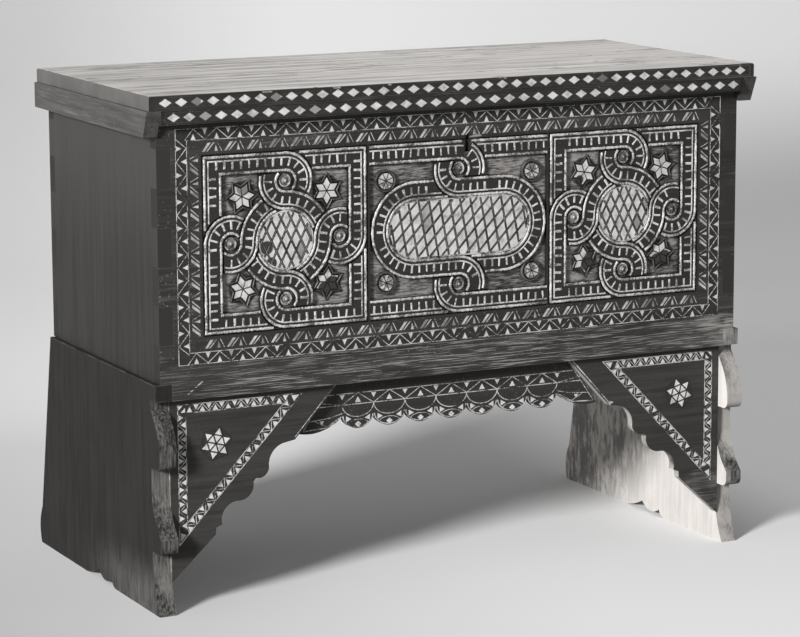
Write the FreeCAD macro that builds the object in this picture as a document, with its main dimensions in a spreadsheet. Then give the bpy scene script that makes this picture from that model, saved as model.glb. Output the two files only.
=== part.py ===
import FreeCAD, Part
import math
import os
import re
from FreeCAD import Vector

doc = FreeCAD.newDocument("dowry_chest")
sheet = doc.addObject("Spreadsheet::Sheet", "dims")

# Driving dimensions in millimetres, and counts where the note says so
driving = [
    ("box_length", 1148, "outer length of the box"),
    ("box_depth", 520, "outer depth of the box"),
    ("box_height", 471, "height of the box walls"),
    ("wall", 26, "thickness of the box walls"),
    ("finger_count", 7, "fingers down each corner, a count"),
    ("floor_thick", 18, "thickness of the box's bottom board"),
    ("lid_overhang", 21, "how far the lid stands over each end of the box"),
    ("lid_thick", 25, "thickness of the lid"),
    ("lid_reach", 24, "how far the lid and front rail stand in front of the box"),
    ("lid_round", 4, "radius on the lid's worn top edges"),
    ("lid_gap", 0.4, "gap between the closed lid and the box"),
    ("batten_width", 45, "width of the lid battens"),
    ("batten_thick", 22, "thickness of the lid battens"),
    ("batten_inset", 264, "lid battens from the box's ends"),
    ("batten_clear", 16, "lid battens from the box walls"),
    ("front_rail_height", 25, "height of the front rim rail"),
    ("rim_thick", 26, "thickness of the side rim rails"),
    ("rim_height", 45, "height of the side rim rails"),
    ("rim_reach", 26, "how far the side rim rails stand in front of the box"),
    ("rim_bevel", 20, "slope on the front ends of the side rim rails"),
    ("stand_reach", 10, "how far the stand stands past each end of the box"),
    ("stand_height", 406, "height of the stand"),
    ("end_thick", 32, "thickness of the stand's end boards"),
    ("rail_height", 30, "height of the stand's rails"),
    ("rail_depth", 44, "depth of the stand's rails"),
    ("back_inset", 8, "the stand's back from the box's back at the top"),
    ("foot_back", 592, "back of the feet from the box's front"),
    ("foot_reach", 5, "how far the feet stand in front of the box"),
    ("lobe_reach", 18, "how far the end boards' lobes stand in front of the box"),
    ("neck_set", 22, "how far the end boards' necks lie behind the box's front"),
    ("lobe_round", 14, "radius under each lobe"),
    ("recess_height", 14, "height of the recess under the rail"),
    ("upper_lobe", 118, "rail to the upper lobe's underside"),
    ("lower_lobe", 148, "upper lobe's underside to the lower lobe's"),
    ("front_foot", 208, "length of the flat front foot"),
    ("back_foot", 246, "length of the flat back foot"),
    ("foot_arch", 18, "height of the notch between the feet"),
    ("heel_height", 70, "height of the heel at the back of the feet"),
    ("heel_reach", 14, "how far the heel stands behind the foot of the back edge"),
    ("bracket_thick", 18, "thickness of the brackets"),
    ("bracket_set", 14, "brackets from the box's front"),
    ("bracket_width", 320, "width of a bracket along the rail"),
    ("bracket_drop", 322, "height of a bracket along the end board"),
    ("bracket_margin", 14, "bracket border from the end board"),
    ("bracket_top", 10, "bracket border from the rail"),
    ("bracket_field_width", 238, "width of the bracket border triangle"),
    ("bracket_field_drop", 250, "height of the bracket border triangle"),
    ("bracket_border", 17, "width of the bracket border"),
    ("bracket_star", 30, "radius of the bracket star"),
    ("bracket_pitch", 25, "spacing of the bracket border's triangles"),
    ("apron_thick", 14, "thickness of the apron"),
    ("apron_lap", 8, "how far the apron's top passes behind each bracket"),
    ("apron_flare", 60, "how much further the apron reaches at its lower corners"),
    ("apron_cusp", 64, "rail to the cusps between the scallops"),
    ("scallop_pitch", 62, "width of a scallop"),
    ("scallop_drop", 25, "depth of a scallop"),
    ("frame_length", 1080, "length of the inlaid frame on the front"),
    ("frame_base", 29, "inlaid frame above the box's lower edge"),
    ("frame_top", 34, "inlaid frame below the box's upper edge"),
    ("border_width", 23, "width of each of the two borders"),
    ("border_pitch", 43, "spacing of the border's triangles"),
    ("ridge_width", 4, "plain ridge between the panels"),
    ("moat_width", 2, "groove between the straps and the panel's ridges"),
    ("strap_gap", 2.5, "gap beside a strap where it passes over another"),
    ("carve_depth", 6, "depth of the sunk ground"),
    ("bed_depth", 1.2, "depth of the inlay beds and thickness of the tiles"),
    ("rosette_radius", 16, "radius of the eight-sided rosettes"),
    ("rosette_inset", 31, "rosettes from the middle panel's corner"),
    ("lozenge_width", 23, "length of a lid or rim lozenge"),
    ("lozenge_height", 15, "height of a lid or rim lozenge"),
    ("lozenge_pitch", 29, "spacing of the lid and rim lozenges"),
    ("lozenge_margin", 22.5, "first lozenge's middle from the end of its row"),
    ("roundel_tile_width", 18.5, "spacing of the roundel lozenges along the front"),
    ("roundel_tile_height", 37, "spacing of the roundel lozenges up the front"),
    ("steep_run", 4, "how far the medallion's steep joints lean in one lozenge"),
    ("steep_rise", 21, "height of one lozenge along the medallion's steep joints"),
    ("slant_run", 17, "length of one lozenge along the medallion's slanting joints"),
    ("slant_rise", 18, "rise of one lozenge along the medallion's slanting joints"),
    ("tile_joint", 2, "joint between inlay tiles"),
    ("slot_width", 9, "width of the key slot"),
    ("slot_height", 40, "height of the key slot"),
    ("slot_depth", 12, "depth of the key slot"),
    ("slot_place", 15, "key slot from the front's middle"),
    ("slot_drop", 52, "key slot's middle below the frame's top"),
    ("hinge_inset", 194, "hinges from the box's ends"),
    ("hinge_width", 90, "length of a hinge's knuckles"),
    ("knuckle_count", 3, "knuckles along a hinge, a count"),
    ("knuckle_radius", 5, "outer radius of the knuckles"),
    ("knuckle_clear", 0.5, "clearance round and between the knuckles"),
    ("pin_radius", 2.5, "radius of the hinge pins"),
    ("pin_clear", 0.1, "clearance round the hinge pins"),
    ("leaf_thick", 2.5, "thickness of the hinge leaves"),
    ("leaf_drop", 60, "height of the hinge leaf on the box"),
    ("leaf_rise", 22, "height of the hinge leaf on the lid"),
    ("nail_width", 3, "width of the square hinge nails"),
    ("nail_head", 8, "width of the hinge nails' heads"),
    ("nail_rise", 1.6, "height of the hinge nails' heads"),
    ("nail_length", 18, "length of the hinge nails' shanks"),
    ("nail_inset", 13, "hinge nails from the leaf's ends"),
    ("nail_low", 48, "lower row of hinge nails below the box's top"),
    ("nail_high", 24, "upper row of hinge nails below the box's top"),
    ("nail_lid", 14, "hinge nails in the lid above its base"),
]
aliases = {alias for alias, number, note in driving}
for row, (alias, number, note) in enumerate(driving, start=1):
    sheet.set(f"A{row}", note)
    sheet.set(f"B{row}", str(number))
    sheet.setAlias(f"B{row}", alias)
doc.recompute()

# Places worked out from the driving dimensions; the origin is under the middle of the whole chest
front = "((rim_reach - foot_back) / 2)"
back = f"({front} + box_depth)"
box_top = "(stand_height + box_height)"
lid_base = f"({box_top} + lid_gap)"
rail_base = "(stand_height - rail_height)"
lid_length = "(box_length + 2 * lid_overhang)"
stand_half = "(box_length / 2 + stand_reach)"
end_inner = f"({stand_half} - end_thick)"
apron_half = f"({end_inner} - bracket_width + apron_lap)"
hinge_place = "(box_length / 2 - hinge_inset)"
batten_place = "(box_length / 2 - batten_inset)"
frame_foot = "(stand_height + frame_base)"
frame_height = "(box_height - frame_base - frame_top)"
frame_middle = f"({frame_foot} + {frame_height} / 2)"
panel = f"({frame_height} - 4 * border_width)"
# The carving in the panels keeps its share of the side panel: straps, roundels and stars
strap_width = f"(0.1108 * {panel})"
roundel_radius = f"(0.1646 * {panel})"
star_radius = f"(0.0791 * {panel})"
star_offset = f"(0.2532 * {panel})"
middle_panel = f"(frame_length - 4 * border_width - 2 * {panel})"
side_place = f"(({middle_panel} + {panel}) / 2)"
hinge_y = f"({back} + knuckle_radius + knuckle_clear)"
hinge_z = f"({box_top} + lid_gap / 2)"


def size(formula):
    return float(sheet.evalExpression(formula))


def bind(item, prop, formula):
    linked = re.sub(r"[a-z_]+", lambda word: "dims." + word[0] if word[0] in aliases else word[0], formula)
    item.setExpression(prop, linked)


sub_parts = []


def keep(item, label):
    item.Label = label
    sub_parts.append(item)
    return item


def block(name, x, y, z):
    item = doc.addObject("Part::Box", name)
    for axis, prop, (start, length) in zip("xyz", ("Length", "Width", "Height"), (x, y, z)):
        bind(item, prop, length)
        bind(item, f"Placement.Base.{axis}", start)
    return item


def shaped(name, shape):
    item = doc.addObject("Part::Feature", name)
    item.Shape = shape
    return item


def cut(name, base, tools):
    tool = tools[0]
    if len(tools) > 1:
        tool = doc.addObject("Part::MultiFuse", name + "_tools")
        tool.Shapes = tools
    item = doc.addObject("Part::Cut", name)
    item.Base = base
    item.Tool = tool
    return item


# Outlines: a start and then steps, each an end point or an arc's middle and end points
def outline(start, steps):
    curves = []
    here = Vector(*start, 0)
    for step in steps + [start]:
        there = Vector(*step[-2:], 0)
        if len(step) == 4:
            curves.append(Part.Arc(here, Vector(*step[:2], 0), there))
        elif here.distanceToPoint(there) > 1e-6:
            curves.append(Part.LineSegment(here, there))
        here = there
    return curves


# A board sawn to an outline; plane YZ_Plane lies across the chest and XZ_Plane along its front
def sawn_board(name, plane, curves, thickness, axis, place):
    body = doc.addObject("PartDesign::Body", name)
    support = [item for item in body.Origin.OriginFeatures if item.Role == plane][0]
    sketch = body.newObject("Sketcher::SketchObject", name + "_outline")
    sketch.AttachmentSupport = [(support, "")]
    sketch.MapMode = "FlatFace"
    sketch.addGeometry(curves, False)
    pad = body.newObject("PartDesign::Pad", name + "_pad")
    pad.Profile = sketch
    bind(pad, "Length", thickness)
    pad.Reversed = plane == "XZ_Plane"
    bind(body, f"Placement.Base.{axis}", place)
    return body


# Flat shapes on the front are drawn in X and Z and pushed back from the plane y
def flat(x, z):
    return Vector(x, 0, z)


def polygon(points):
    return Part.Face(Part.makePolygon([flat(*point) for point in points + points[:1]]))


def rectangle(half_width, half_height, x=0, z=0):
    left, right = x - half_width, x + half_width
    low, high = z - half_height, z + half_height
    return polygon([(left, low), (right, low), (right, high), (left, high)])


def disc(radius, x=0, z=0):
    return Part.Face(Part.Wire(Part.makeCircle(radius, flat(x, z), Vector(0, 1, 0))))


def push(face, depth, y):
    solid = face.extrude(Vector(0, depth, 0))
    solid.translate(Vector(0, y, 0))
    return solid


def turned(shape, degrees):
    copy = shape.copy()
    copy.rotate(Vector(0, 0, 0), Vector(0, -1, 0), degrees)
    return copy


def moved(shape, x, z=0):
    copy = shape.copy()
    copy.translate(flat(x, z))
    return copy


def mirrored(shape):
    return shape.mirror(Vector(0, 0, 0), Vector(1, 0, 0))


# The box: four finger-jointed walls and a bottom board
finger = "(box_height / finger_count)"
fingers = range(int(size("finger_count")))


def finger_sockets(name, spans, which):
    return [
        block(f"{name}_{end}_{index}", x, y, (f"stand_height + {finger} * {index}", finger))
        for end, (x, y) in enumerate(spans)
        for index in fingers
        if index % 2 == which
    ]


wall_x = ("-box_length / 2", "box_length")
wall_z = ("stand_height", "box_height")
left_end = ("-box_length / 2", "wall")
right_end = ("box_length / 2 - wall", "wall")
front_end = (front, "wall")
back_end = (f"{back} - wall", "wall")

front_blank = block("front_blank", wall_x, front_end, wall_z)
front_sockets = finger_sockets("front_socket", [(left_end, front_end), (right_end, front_end)], 1)
back_blank = block("back_blank", wall_x, back_end, wall_z)
back_sockets = finger_sockets("back_socket", [(left_end, back_end), (right_end, back_end)], 1)
for label, end in (("left_side_board", left_end), ("right_side_board", right_end)):
    side_blank = block(label + "_blank", end, (front, "box_depth"), wall_z)
    side_sockets = finger_sockets(label + "_socket", [(end, front_end), (end, back_end)], 0)
    keep(cut(label + "_cut", side_blank, side_sockets), label)
inside_x = ("-box_length / 2 + wall", "box_length - 2 * wall")
inside_y = (f"{front} + wall", "box_depth - 2 * wall")
keep(block("bottom", inside_x, inside_y, ("stand_height", "floor_thick")), "bottom_board")

# The carved front: an inlaid border, two square panels of knotted straps and a long middle panel
half_strap = size(f"{strap_width} / 2")
moat = size("moat_width")
panel_half = size(f"{panel} / 2 - ridge_width / 2")
middle_half = size(f"{middle_panel} / 2 - ridge_width / 2")
disc_radius = size(roundel_radius)
strap_line = panel_half - moat - half_strap
ring_line = disc_radius + half_strap
eye_place = (strap_line + ring_line) / 2
eye = (strap_line - ring_line) / 2
ring_straight = middle_half - moat - half_strap - ring_line
upright = math.pi / 2


def polar(centre, radius, angle):
    return (centre[0] + radius * math.cos(angle), centre[1] + radius * math.sin(angle))


def arc(centre, radius, start, end):
    points = [polar(centre, radius, angle) for angle in (start, (start + end) / 2, end)]
    return Part.Arc(*[flat(*point) for point in points]).toShape()


def line(start, end):
    return Part.makeLine(flat(*start), flat(*end))


# Half round the upper eye, from the top line down to the ring; side moves the curve to the strap's edge
def eye_arc(side):
    return arc((0, eye_place), eye + side, upright, -upright)


# A corner loop of a square panel: along two edges, half round two eyes and past the middle disc
def corner_loop(side):
    half = [line((-strap_line - side, strap_line + side), (0, strap_line + side)), eye_arc(side)]
    whole = half + [edge.mirror(Vector(0, 0, 0), Vector(1, 0, 1)) for edge in half]
    whole.append(arc((0, 0), ring_line - side, upright, math.pi))
    return Part.Wire(Part.__sortEdges__(whole))


# A strap of the middle panel: in at the top, round an eye, half round the ring and out at the bottom
def middle_edges(side):
    half = [
        line((-middle_half, strap_line + side), (0, strap_line + side)),
        eye_arc(side),
        line((0, ring_line - side), (-ring_straight, ring_line - side)),
    ]
    whole = half + [edge.mirror(Vector(0, 0, 0), Vector(0, 0, 1)) for edge in half]
    whole.append(arc((-ring_straight, 0), ring_line - side, upright, 3 * upright))
    return whole


def band(loop, inner, outer):
    return Part.makeFace([loop(outer), loop(inner)], "Part::FaceMakerBullseye")


def middle_band(inner, outer):
    ends = [
        line((-middle_half, sign * (strap_line + inner)), (-middle_half, sign * (strap_line + outer)))
        for sign in (1, -1)
    ]
    edges = middle_edges(inner) + middle_edges(outer) + ends
    return Part.Face(Part.Wire(Part.__sortEdges__(edges)))


# Where one strap passes over another, the lower one stops at a narrow gap along its edges
def crossing_gaps(over_edges, under, low, high):
    window = rectangle(middle_half, (high - low) / 2, 0, (high + low) / 2)
    return [edge.common(under).common(window) for edge in over_edges]


gap = size("strap_gap")
edge_sides = ((half_strap, half_strap + gap), (-half_strap - gap, -half_strap))
loop_band = band(corner_loop, -half_strap, half_strap)
next_band = turned(loop_band, -90)
loop_gaps = [band(corner_loop, inner, outer) for inner, outer in edge_sides]
next_gaps = [turned(gap_face, -90) for gap_face in loop_gaps]
knot_gaps = crossing_gaps(loop_gaps, next_band, eye_place, panel_half)
knot_gaps += crossing_gaps(next_gaps, loop_band, 0, eye_place)
quarter_turns = (0, -90, -180, -270)
side_gaps = [turned(gap_face, angle) for gap_face in knot_gaps for angle in quarter_turns]
side_straps = [turned(loop_band, angle).cut(side_gaps) for angle in quarter_turns]

left_band = middle_band(-half_strap, half_strap)
right_band = mirrored(left_band)
left_gaps = [middle_band(inner, outer) for inner, outer in edge_sides]
right_gaps = [mirrored(gap_face) for gap_face in left_gaps]
middle_gaps = crossing_gaps(left_gaps, right_band, eye_place, panel_half)
middle_gaps += crossing_gaps(right_gaps, left_band, 0, eye_place)
middle_gaps += [turned(gap_face, 180) for gap_face in middle_gaps]
middle_straps = [left_band.cut(middle_gaps), right_band.cut(middle_gaps)]


def stadium(radius):
    upper = [flat(-ring_straight, radius), flat(ring_straight, radius)]
    lower = [flat(-ring_straight, -radius), flat(ring_straight, -radius)]
    edges = [
        Part.makeLine(*upper),
        arc((ring_straight, 0), radius, upright, -upright),
        Part.makeLine(*lower),
        arc((-ring_straight, 0), radius, upright, 3 * upright),
    ]
    return Part.Face(Part.Wire(Part.__sortEdges__(edges)))


rosette_x = middle_half - size("rosette_inset")
rosette_z = panel_half - size(f"{strap_width} + rosette_inset")
rosette_places = [(sign_x * rosette_x, sign_z * rosette_z) for sign_x in (-1, 1) for sign_z in (-1, 1)]
petal_turns = [index * math.pi / 4 for index in range(8)]


# The corners of one wedge of a rosette
def petal(place, radius, angle):
    return [place, polar(place, radius, angle - math.pi / 8), polar(place, radius, angle + math.pi / 8)]


rosettes = []
for place in rosette_places:
    rosettes.append(polygon([petal(place, size("rosette_radius"), angle)[1] for angle in petal_turns]))
side_ground = rectangle(panel_half, panel_half).cut(side_straps + [disc(disc_radius)])
middle_ground = rectangle(middle_half, panel_half)
middle_ground = middle_ground.cut(middle_straps + [stadium(disc_radius)] + rosettes)

carve = size("carve_depth")
bed = size("bed_depth")
front_y = size(front)
side_x = size(side_place)
middle_z = size(frame_middle)
carving = [
    push(moved(middle_ground, 0, middle_z), carve, front_y),
    push(moved(stadium(disc_radius), 0, middle_z), bed, front_y),
]
for x in (-side_x, side_x):
    carving.append(push(moved(side_ground, x, middle_z), carve, front_y))
    carving.append(push(moved(disc(disc_radius), x, middle_z), bed, front_y))
border_half = (size("frame_length / 2"), size(f"{frame_height} / 2"))
border = size("border_width")
border_face = rectangle(*border_half).cut(rectangle(border_half[0] - border, border_half[1] - border))
carving.append(push(moved(border_face, 0, middle_z), bed, front_y))
slot = block(
    "key_slot",
    ("slot_place - slot_width / 2", "slot_width"),
    (front, "slot_depth"),
    (f"{frame_foot} + {frame_height} - slot_drop - slot_height / 2", "slot_height"),
)
front_joined = cut("front_joined", front_blank, front_sockets + [slot])
keep(cut("front_carved", front_joined, [shaped("front_carving", Part.makeCompound(carving))]), "front_board")


# Inlay tiles: flat pieces as thick as their beds are deep, let in from the plane y
def tiles(label, faces, y):
    solids = [push(face, bed, y) for face in faces]
    return keep(shaped(label + "_tiles", Part.makeCompound(solids)), label)


# Small triangles along a row from start to end, pointing to and fro across the row's width
def triangle_row(start, end, width, pitch, base_share, rise_share):
    along = Vector(end[0] - start[0], 0, end[1] - start[1])
    count = max(1, round(along.Length / pitch))
    step = along / count
    along.normalize()
    across = Vector(-along.z, 0, along.x)
    half_base = along * (width * base_share / 2)
    faces = []
    for index in range(2 * count):
        place = flat(*start) + step * (2 * index + 1) / 4
        sign = 1 if index % 2 else -1
        foot = place + across * (sign * (width / 2 - joint))
        tip = foot - across * (sign * width * rise_share)
        corners = [foot - half_base, foot + half_base, tip]
        faces.append(polygon([(corner.x, corner.z) for corner in corners]))
    return faces


joint = size("tile_joint")
row_x = border_half[0] - border / 2
row_z = border_half[1] - border / 2
row_ends = [
    ((border - border_half[0], row_z), (border_half[0] - border, row_z)),
    ((border - border_half[0], -row_z), (border_half[0] - border, -row_z)),
    ((-row_x, -border_half[1] + border), (-row_x, border_half[1] - border)),
    ((row_x, -border_half[1] + border), (row_x, border_half[1] - border)),
]
border_base, border_rise = 0.42, 0.46
border_tiles = []
for start, end in row_ends:
    border_tiles += triangle_row(start, end, border, size("border_pitch"), border_base, border_rise)
tiles("border_triangles", [moved(face, 0, middle_z) for face in border_tiles], front_y)


# A tile drawn smaller about its own middle, to leave a joint round it
def shrunk(points, by):
    x = sum(point[0] for point in points) / len(points)
    z = sum(point[1] for point in points) / len(points)
    reach = max(math.hypot(point[0] - x, point[1] - z) for point in points)
    share = 1 - by / reach
    return polygon([(x + (point[0] - x) * share, z + (point[1] - z) * share) for point in points])


# A field of lozenges between two sets of leaning joints, trimmed with straight cuts round its rim
rim_cuts = 24


def mosaic(straight, down, up):
    radius = disc_radius - joint
    rim = []
    for index in range(rim_cuts):
        x, z = polar((0, 0), radius, (2 * index + 1) * math.pi / rim_cuts)
        rim.append((x + math.copysign(straight, x), z))
    rim_face = polygon(rim)
    rows = math.ceil(2 * (straight + radius) / min(math.hypot(*down), math.hypot(*up)))
    faces = []
    for row in range(-rows, rows + 1):
        for column in range(-rows, rows + 1):
            x = row * down[0] + column * up[0]
            z = row * down[1] + column * up[1]
            if abs(x) > straight + radius or abs(z) > radius:
                continue
            wide = ((down[0] + up[0]) / 2, (down[1] + up[1]) / 2)
            tall = ((up[0] - down[0]) / 2, (up[1] - down[1]) / 2)
            points = [
                (x - wide[0], z - wide[1]),
                (x - tall[0], z - tall[1]),
                (x + wide[0], z + wide[1]),
                (x + tall[0], z + tall[1]),
            ]
            lozenge = shrunk(points, joint)
            trimmed = lozenge.common(rim_face)
            faces += [face for face in trimmed.Faces if face.Area > lozenge.Area / 4]
    return faces


half_width, half_height = size("roundel_tile_width / 2"), size("roundel_tile_height / 2")
roundel = mosaic(0, (half_width, -half_height), (half_width, half_height))
tiles("left_roundel_lozenges", [moved(face, -side_x, middle_z) for face in roundel], front_y)
tiles("right_roundel_lozenges", [moved(face, side_x, middle_z) for face in roundel], front_y)
steep = (size("steep_run"), -size("steep_rise"))
slant = (size("slant_run"), size("slant_rise"))
medallion = mosaic(ring_straight, steep, slant)
tiles("medallion_lozenges", [moved(face, 0, middle_z) for face in medallion], front_y)


# Eight wedges in each rosette
petals = []
for place in rosette_places:
    for angle in petal_turns:
        petals.append(moved(shrunk(petal(place, size("rosette_radius"), angle), joint), 0, middle_z))
tiles("rosette_petals", petals, front_y - bed)


sixth = math.pi / 3


# Six lozenges meeting at the middle of a star
def lozenge_star(radius):
    faces = []
    for index in range(6):
        angle = index * sixth
        sides = [polar((0, 0), radius / math.sqrt(3), angle + lean) for lean in (-sixth / 2, sixth / 2)]
        faces.append(shrunk([(0, 0), sides[0], polar((0, 0), radius, angle), sides[1]], joint))
    return faces


# Every panel star is set at its own angle, in degrees, from the lower left corner of each panel
star_turns = {-1: (42, 5, 25, 30), 1: (35, 20, 8, 12)}
star_place = size(star_offset)
star_tiles = []
for side, turns in star_turns.items():
    places = [(x * star_place, z * star_place) for x in (-1, 1) for z in (-1, 1)]
    for (x, z), degrees in zip(places, turns):
        for face in lozenge_star(size(star_radius)):
            star_tiles.append(moved(turned(face, degrees), side * side_x + x, middle_z + z))
tiles("panel_star_rhombs", star_tiles, front_y + carve - bed)


# A row of lozenges along the front, centred, at the height z, and the groove that it lies in
def lozenge_row(length, z):
    half_x, half_z = size("lozenge_width / 2"), size("lozenge_height / 2")
    pitch = size("lozenge_pitch")
    count = int((length - 2 * size("lozenge_margin")) / pitch) + 1
    faces = []
    for index in range(count):
        x = (index - (count - 1) / 2) * pitch
        faces.append(polygon([(x - half_x, z), (x, z - half_z), (x + half_x, z), (x, z + half_z)]))
    return faces


def lozenge_groove(name, length, z):
    end = "(lozenge_margin - lozenge_width / 2 - tile_joint)"
    height = "(lozenge_height + tile_joint)"
    x = (f"{end} - {length} / 2", f"{length} - 2 * {end}")
    return block(name, x, (f"{front} - lid_reach", "bed_depth"), (f"{z} - {height} / 2", height))


# The lid: one wide plank with its lozenges let into the front edge and two battens underneath
lid_face = front_y - size("lid_reach")
lid_row_z = f"({lid_base} + lid_thick / 2)"
tiles("lid_lozenges", lozenge_row(size(lid_length), size(lid_row_z)), lid_face)
lid_groove = lozenge_groove("lid_groove", lid_length, lid_row_z)
lid_y = (f"{front} - lid_reach", "lid_reach + box_depth")
lid_blank = block("lid_blank", (f"-{lid_length} / 2", lid_length), lid_y, (lid_base, "lid_thick"))
doc.recompute()
lid_round = doc.addObject("Part::Fillet", "lid_round_edges")
lid_round.Base = lid_blank
lid_top = lid_blank.Shape.BoundBox.ZMax
lid_edges = []
for number, edge in enumerate(lid_blank.Shape.Edges, start=1):
    if edge.BoundBox.ZMin > lid_top - 1e-6:
        lid_edges.append((number, size("lid_round"), size("lid_round")))
lid_round.Edges = lid_edges
batten_y = (f"{front} + wall + batten_clear", "box_depth - 2 * wall - 2 * batten_clear")
batten_z = (f"{lid_base} - batten_thick", "batten_thick")
for label, place in (("left_lid_batten", f"-{batten_place}"), ("right_lid_batten", batten_place)):
    keep(block(label + "_bar", (f"{place} - batten_width / 2", "batten_width"), batten_y, batten_z), label)

# The rim round the box's top: an inlaid front rail between two side rails with sloping front ends
rim_row_z = f"({box_top} - front_rail_height / 2)"
tiles("rim_lozenges", lozenge_row(size("box_length"), size(rim_row_z)), lid_face)
rim_groove = lozenge_groove("rim_groove", "box_length", rim_row_z)
rail_z = (f"{box_top} - front_rail_height", "front_rail_height")
front_rail = block("front_rail_blank", wall_x, (f"{front} - lid_reach", "lid_reach"), rail_z)
keep(cut("front_rail_cut", front_rail, [rim_groove]), "front_rim_rail")
rim_top, rim_foot = size(box_top), size(f"{box_top} - rim_height")
rim_front = front_y - size("rim_reach")
back_y = size(back)
rim_outline = [(back_y, rim_top), (back_y, rim_foot), (rim_front + size("rim_bevel"), rim_foot)]
for label, place in (("left_rim_rail", "-box_length / 2 - rim_thick"), ("right_rim_rail", "box_length / 2")):
    curves = outline((rim_front, rim_top), rim_outline)
    keep(sawn_board(label + "_body", "YZ_Plane", curves, "rim_thick", "x", place), label)

# The stand's end boards, with three flaring steps down the front, a notched foot and a rounded heel
stand_top, rail_foot = size("stand_height"), size(rail_base)
neck = front_y + size("neck_set")
lobe = front_y - size("lobe_reach")
lobe_round = size("lobe_round")
round_in = lobe_round * (1 - math.sqrt(0.5))
upper_foot = rail_foot - size("upper_lobe")
lower_foot = upper_foot - size("lower_lobe")
recess_foot = rail_foot - size("recess_height")
foot_front = front_y - size("foot_reach")
foot_back = front_y + size("foot_back")
arch_start, arch_end = foot_front + size("front_foot"), foot_back - size("back_foot")
arch = arch_end - arch_start
# The notch between the feet, as shares of its length and height: two hollows and a lobe between them
arch_edge = [(0.09, 0.25, 0.14, 0.75), (0.36, 0.25, 0.58, 1), (0.77, 0.38, 1, 0)]


def lobe_steps(top, foot, bulge):
    shoulder = foot + 2 * lobe_round
    middle_y, middle_z = (neck + lobe) / 2, (top + shoulder) / 2
    return [
        (middle_y + bulge, middle_z, lobe, shoulder),
        (lobe, foot + lobe_round),
        (lobe + round_in, foot + round_in, lobe + lobe_round, foot),
        (neck, foot),
    ]


neck_foot = upper_foot - size("lower_lobe") / 3
flare = size("neck_set + lobe_reach") / 5
end_steps = [(front_y, rail_foot), (neck, rail_foot), (neck, recess_foot)]
end_steps += lobe_steps(recess_foot, upper_foot, -flare)
end_steps += [(neck, neck_foot)]
end_steps += lobe_steps(neck_foot, lower_foot, flare)
end_steps += [
    ((neck + foot_front) / 2 + flare, lower_foot / 2, foot_front, 0),
    (arch_start, 0),
]
for step in arch_edge:
    pairs = [(arch_start + y * arch, z * size("foot_arch")) for y, z in zip(step[::2], step[1::2])]
    end_steps.append(sum(pairs, ()))
heel, heel_reach = size("heel_height"), size("heel_reach")
heel_middle = math.sqrt(2 * heel**2 + heel_reach**2 / 2) - heel
end_steps += [
    (foot_back - heel_reach / 2, 0),
    (foot_back, heel_middle, foot_back - heel_reach, heel),
    (back_y - size("back_inset"), stand_top),
]
for label, place in (("left_end_board", f"-{stand_half}"), ("right_end_board", end_inner)):
    curves = outline((front_y, stand_top), end_steps)
    keep(sawn_board(label + "_body", "YZ_Plane", curves, "end_thick", "x", place), label)
rail_x = (f"-{end_inner}", f"2 * {end_inner}")
stand_z = (rail_base, "rail_height")
keep(block("front_stretcher", rail_x, (front, "rail_depth"), stand_z), "stand_front_rail")
back_rail_y = (f"{back} - back_inset - rail_depth", "rail_depth")
keep(block("back_stretcher", rail_x, back_rail_y, stand_z), "stand_back_rail")

# The brackets: u runs in from the end board and w down from the rail, as shares of the bracket's size
bracket_width, bracket_drop = size("bracket_width"), size("bracket_drop")
bracket_edge = [
    (0.734, 0.289),
    (0.663, 0.301),
    (0.605, 0.338, 0.578, 0.429),
    (0.56, 0.464, 0.5, 0.478),
    (0.484, 0.497),
    (0.469, 0.56, 0.4, 0.593),
    (0.328, 0.615, 0.297, 0.714),
    (0.262, 0.727),
    (0.259, 0.764),
    (0, 1),
]
corner_x = size(end_inner)
border_corner = (size("bracket_margin"), size("bracket_top"))
field = (size("bracket_field_width"), size("bracket_field_drop"))
bracket_y = front_y + size("bracket_set")
bracket_border = size("bracket_border")
bracket_star = size("bracket_star")
star_share = 0.3
star_lean = math.radians(15)
bracket_base, bracket_rise = 0.62, 0.56


def bracket_point(sign, u, w):
    return (sign * (corner_x - u), rail_foot - w)


# The border triangle moved in from its edges by inset
def field_corners(sign, inset):
    width, drop = field
    slant = math.hypot(width, drop)
    u, w = border_corner[0] + inset, border_corner[1] + inset
    left = 1 - inset * (width + drop + slant) / (width * drop)
    corners = [(u, w), (u + width * left, w), (u, w + drop * left)]
    return [bracket_point(sign, *corner) for corner in corners]


# Two large triangles' worth of small ones: six points round a hexagon of six
def triangle_star(centre, radius, first):
    faces = []
    small = radius / math.sqrt(3)
    for index in range(6):
        angle = first + index * sixth
        sides = [polar(centre, small, angle + lean) for lean in (-sixth / 2, sixth / 2)]
        faces.append(shrunk([centre] + sides, joint))
        faces.append(shrunk([polar(centre, radius, angle)] + sides, joint))
    return faces


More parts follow.
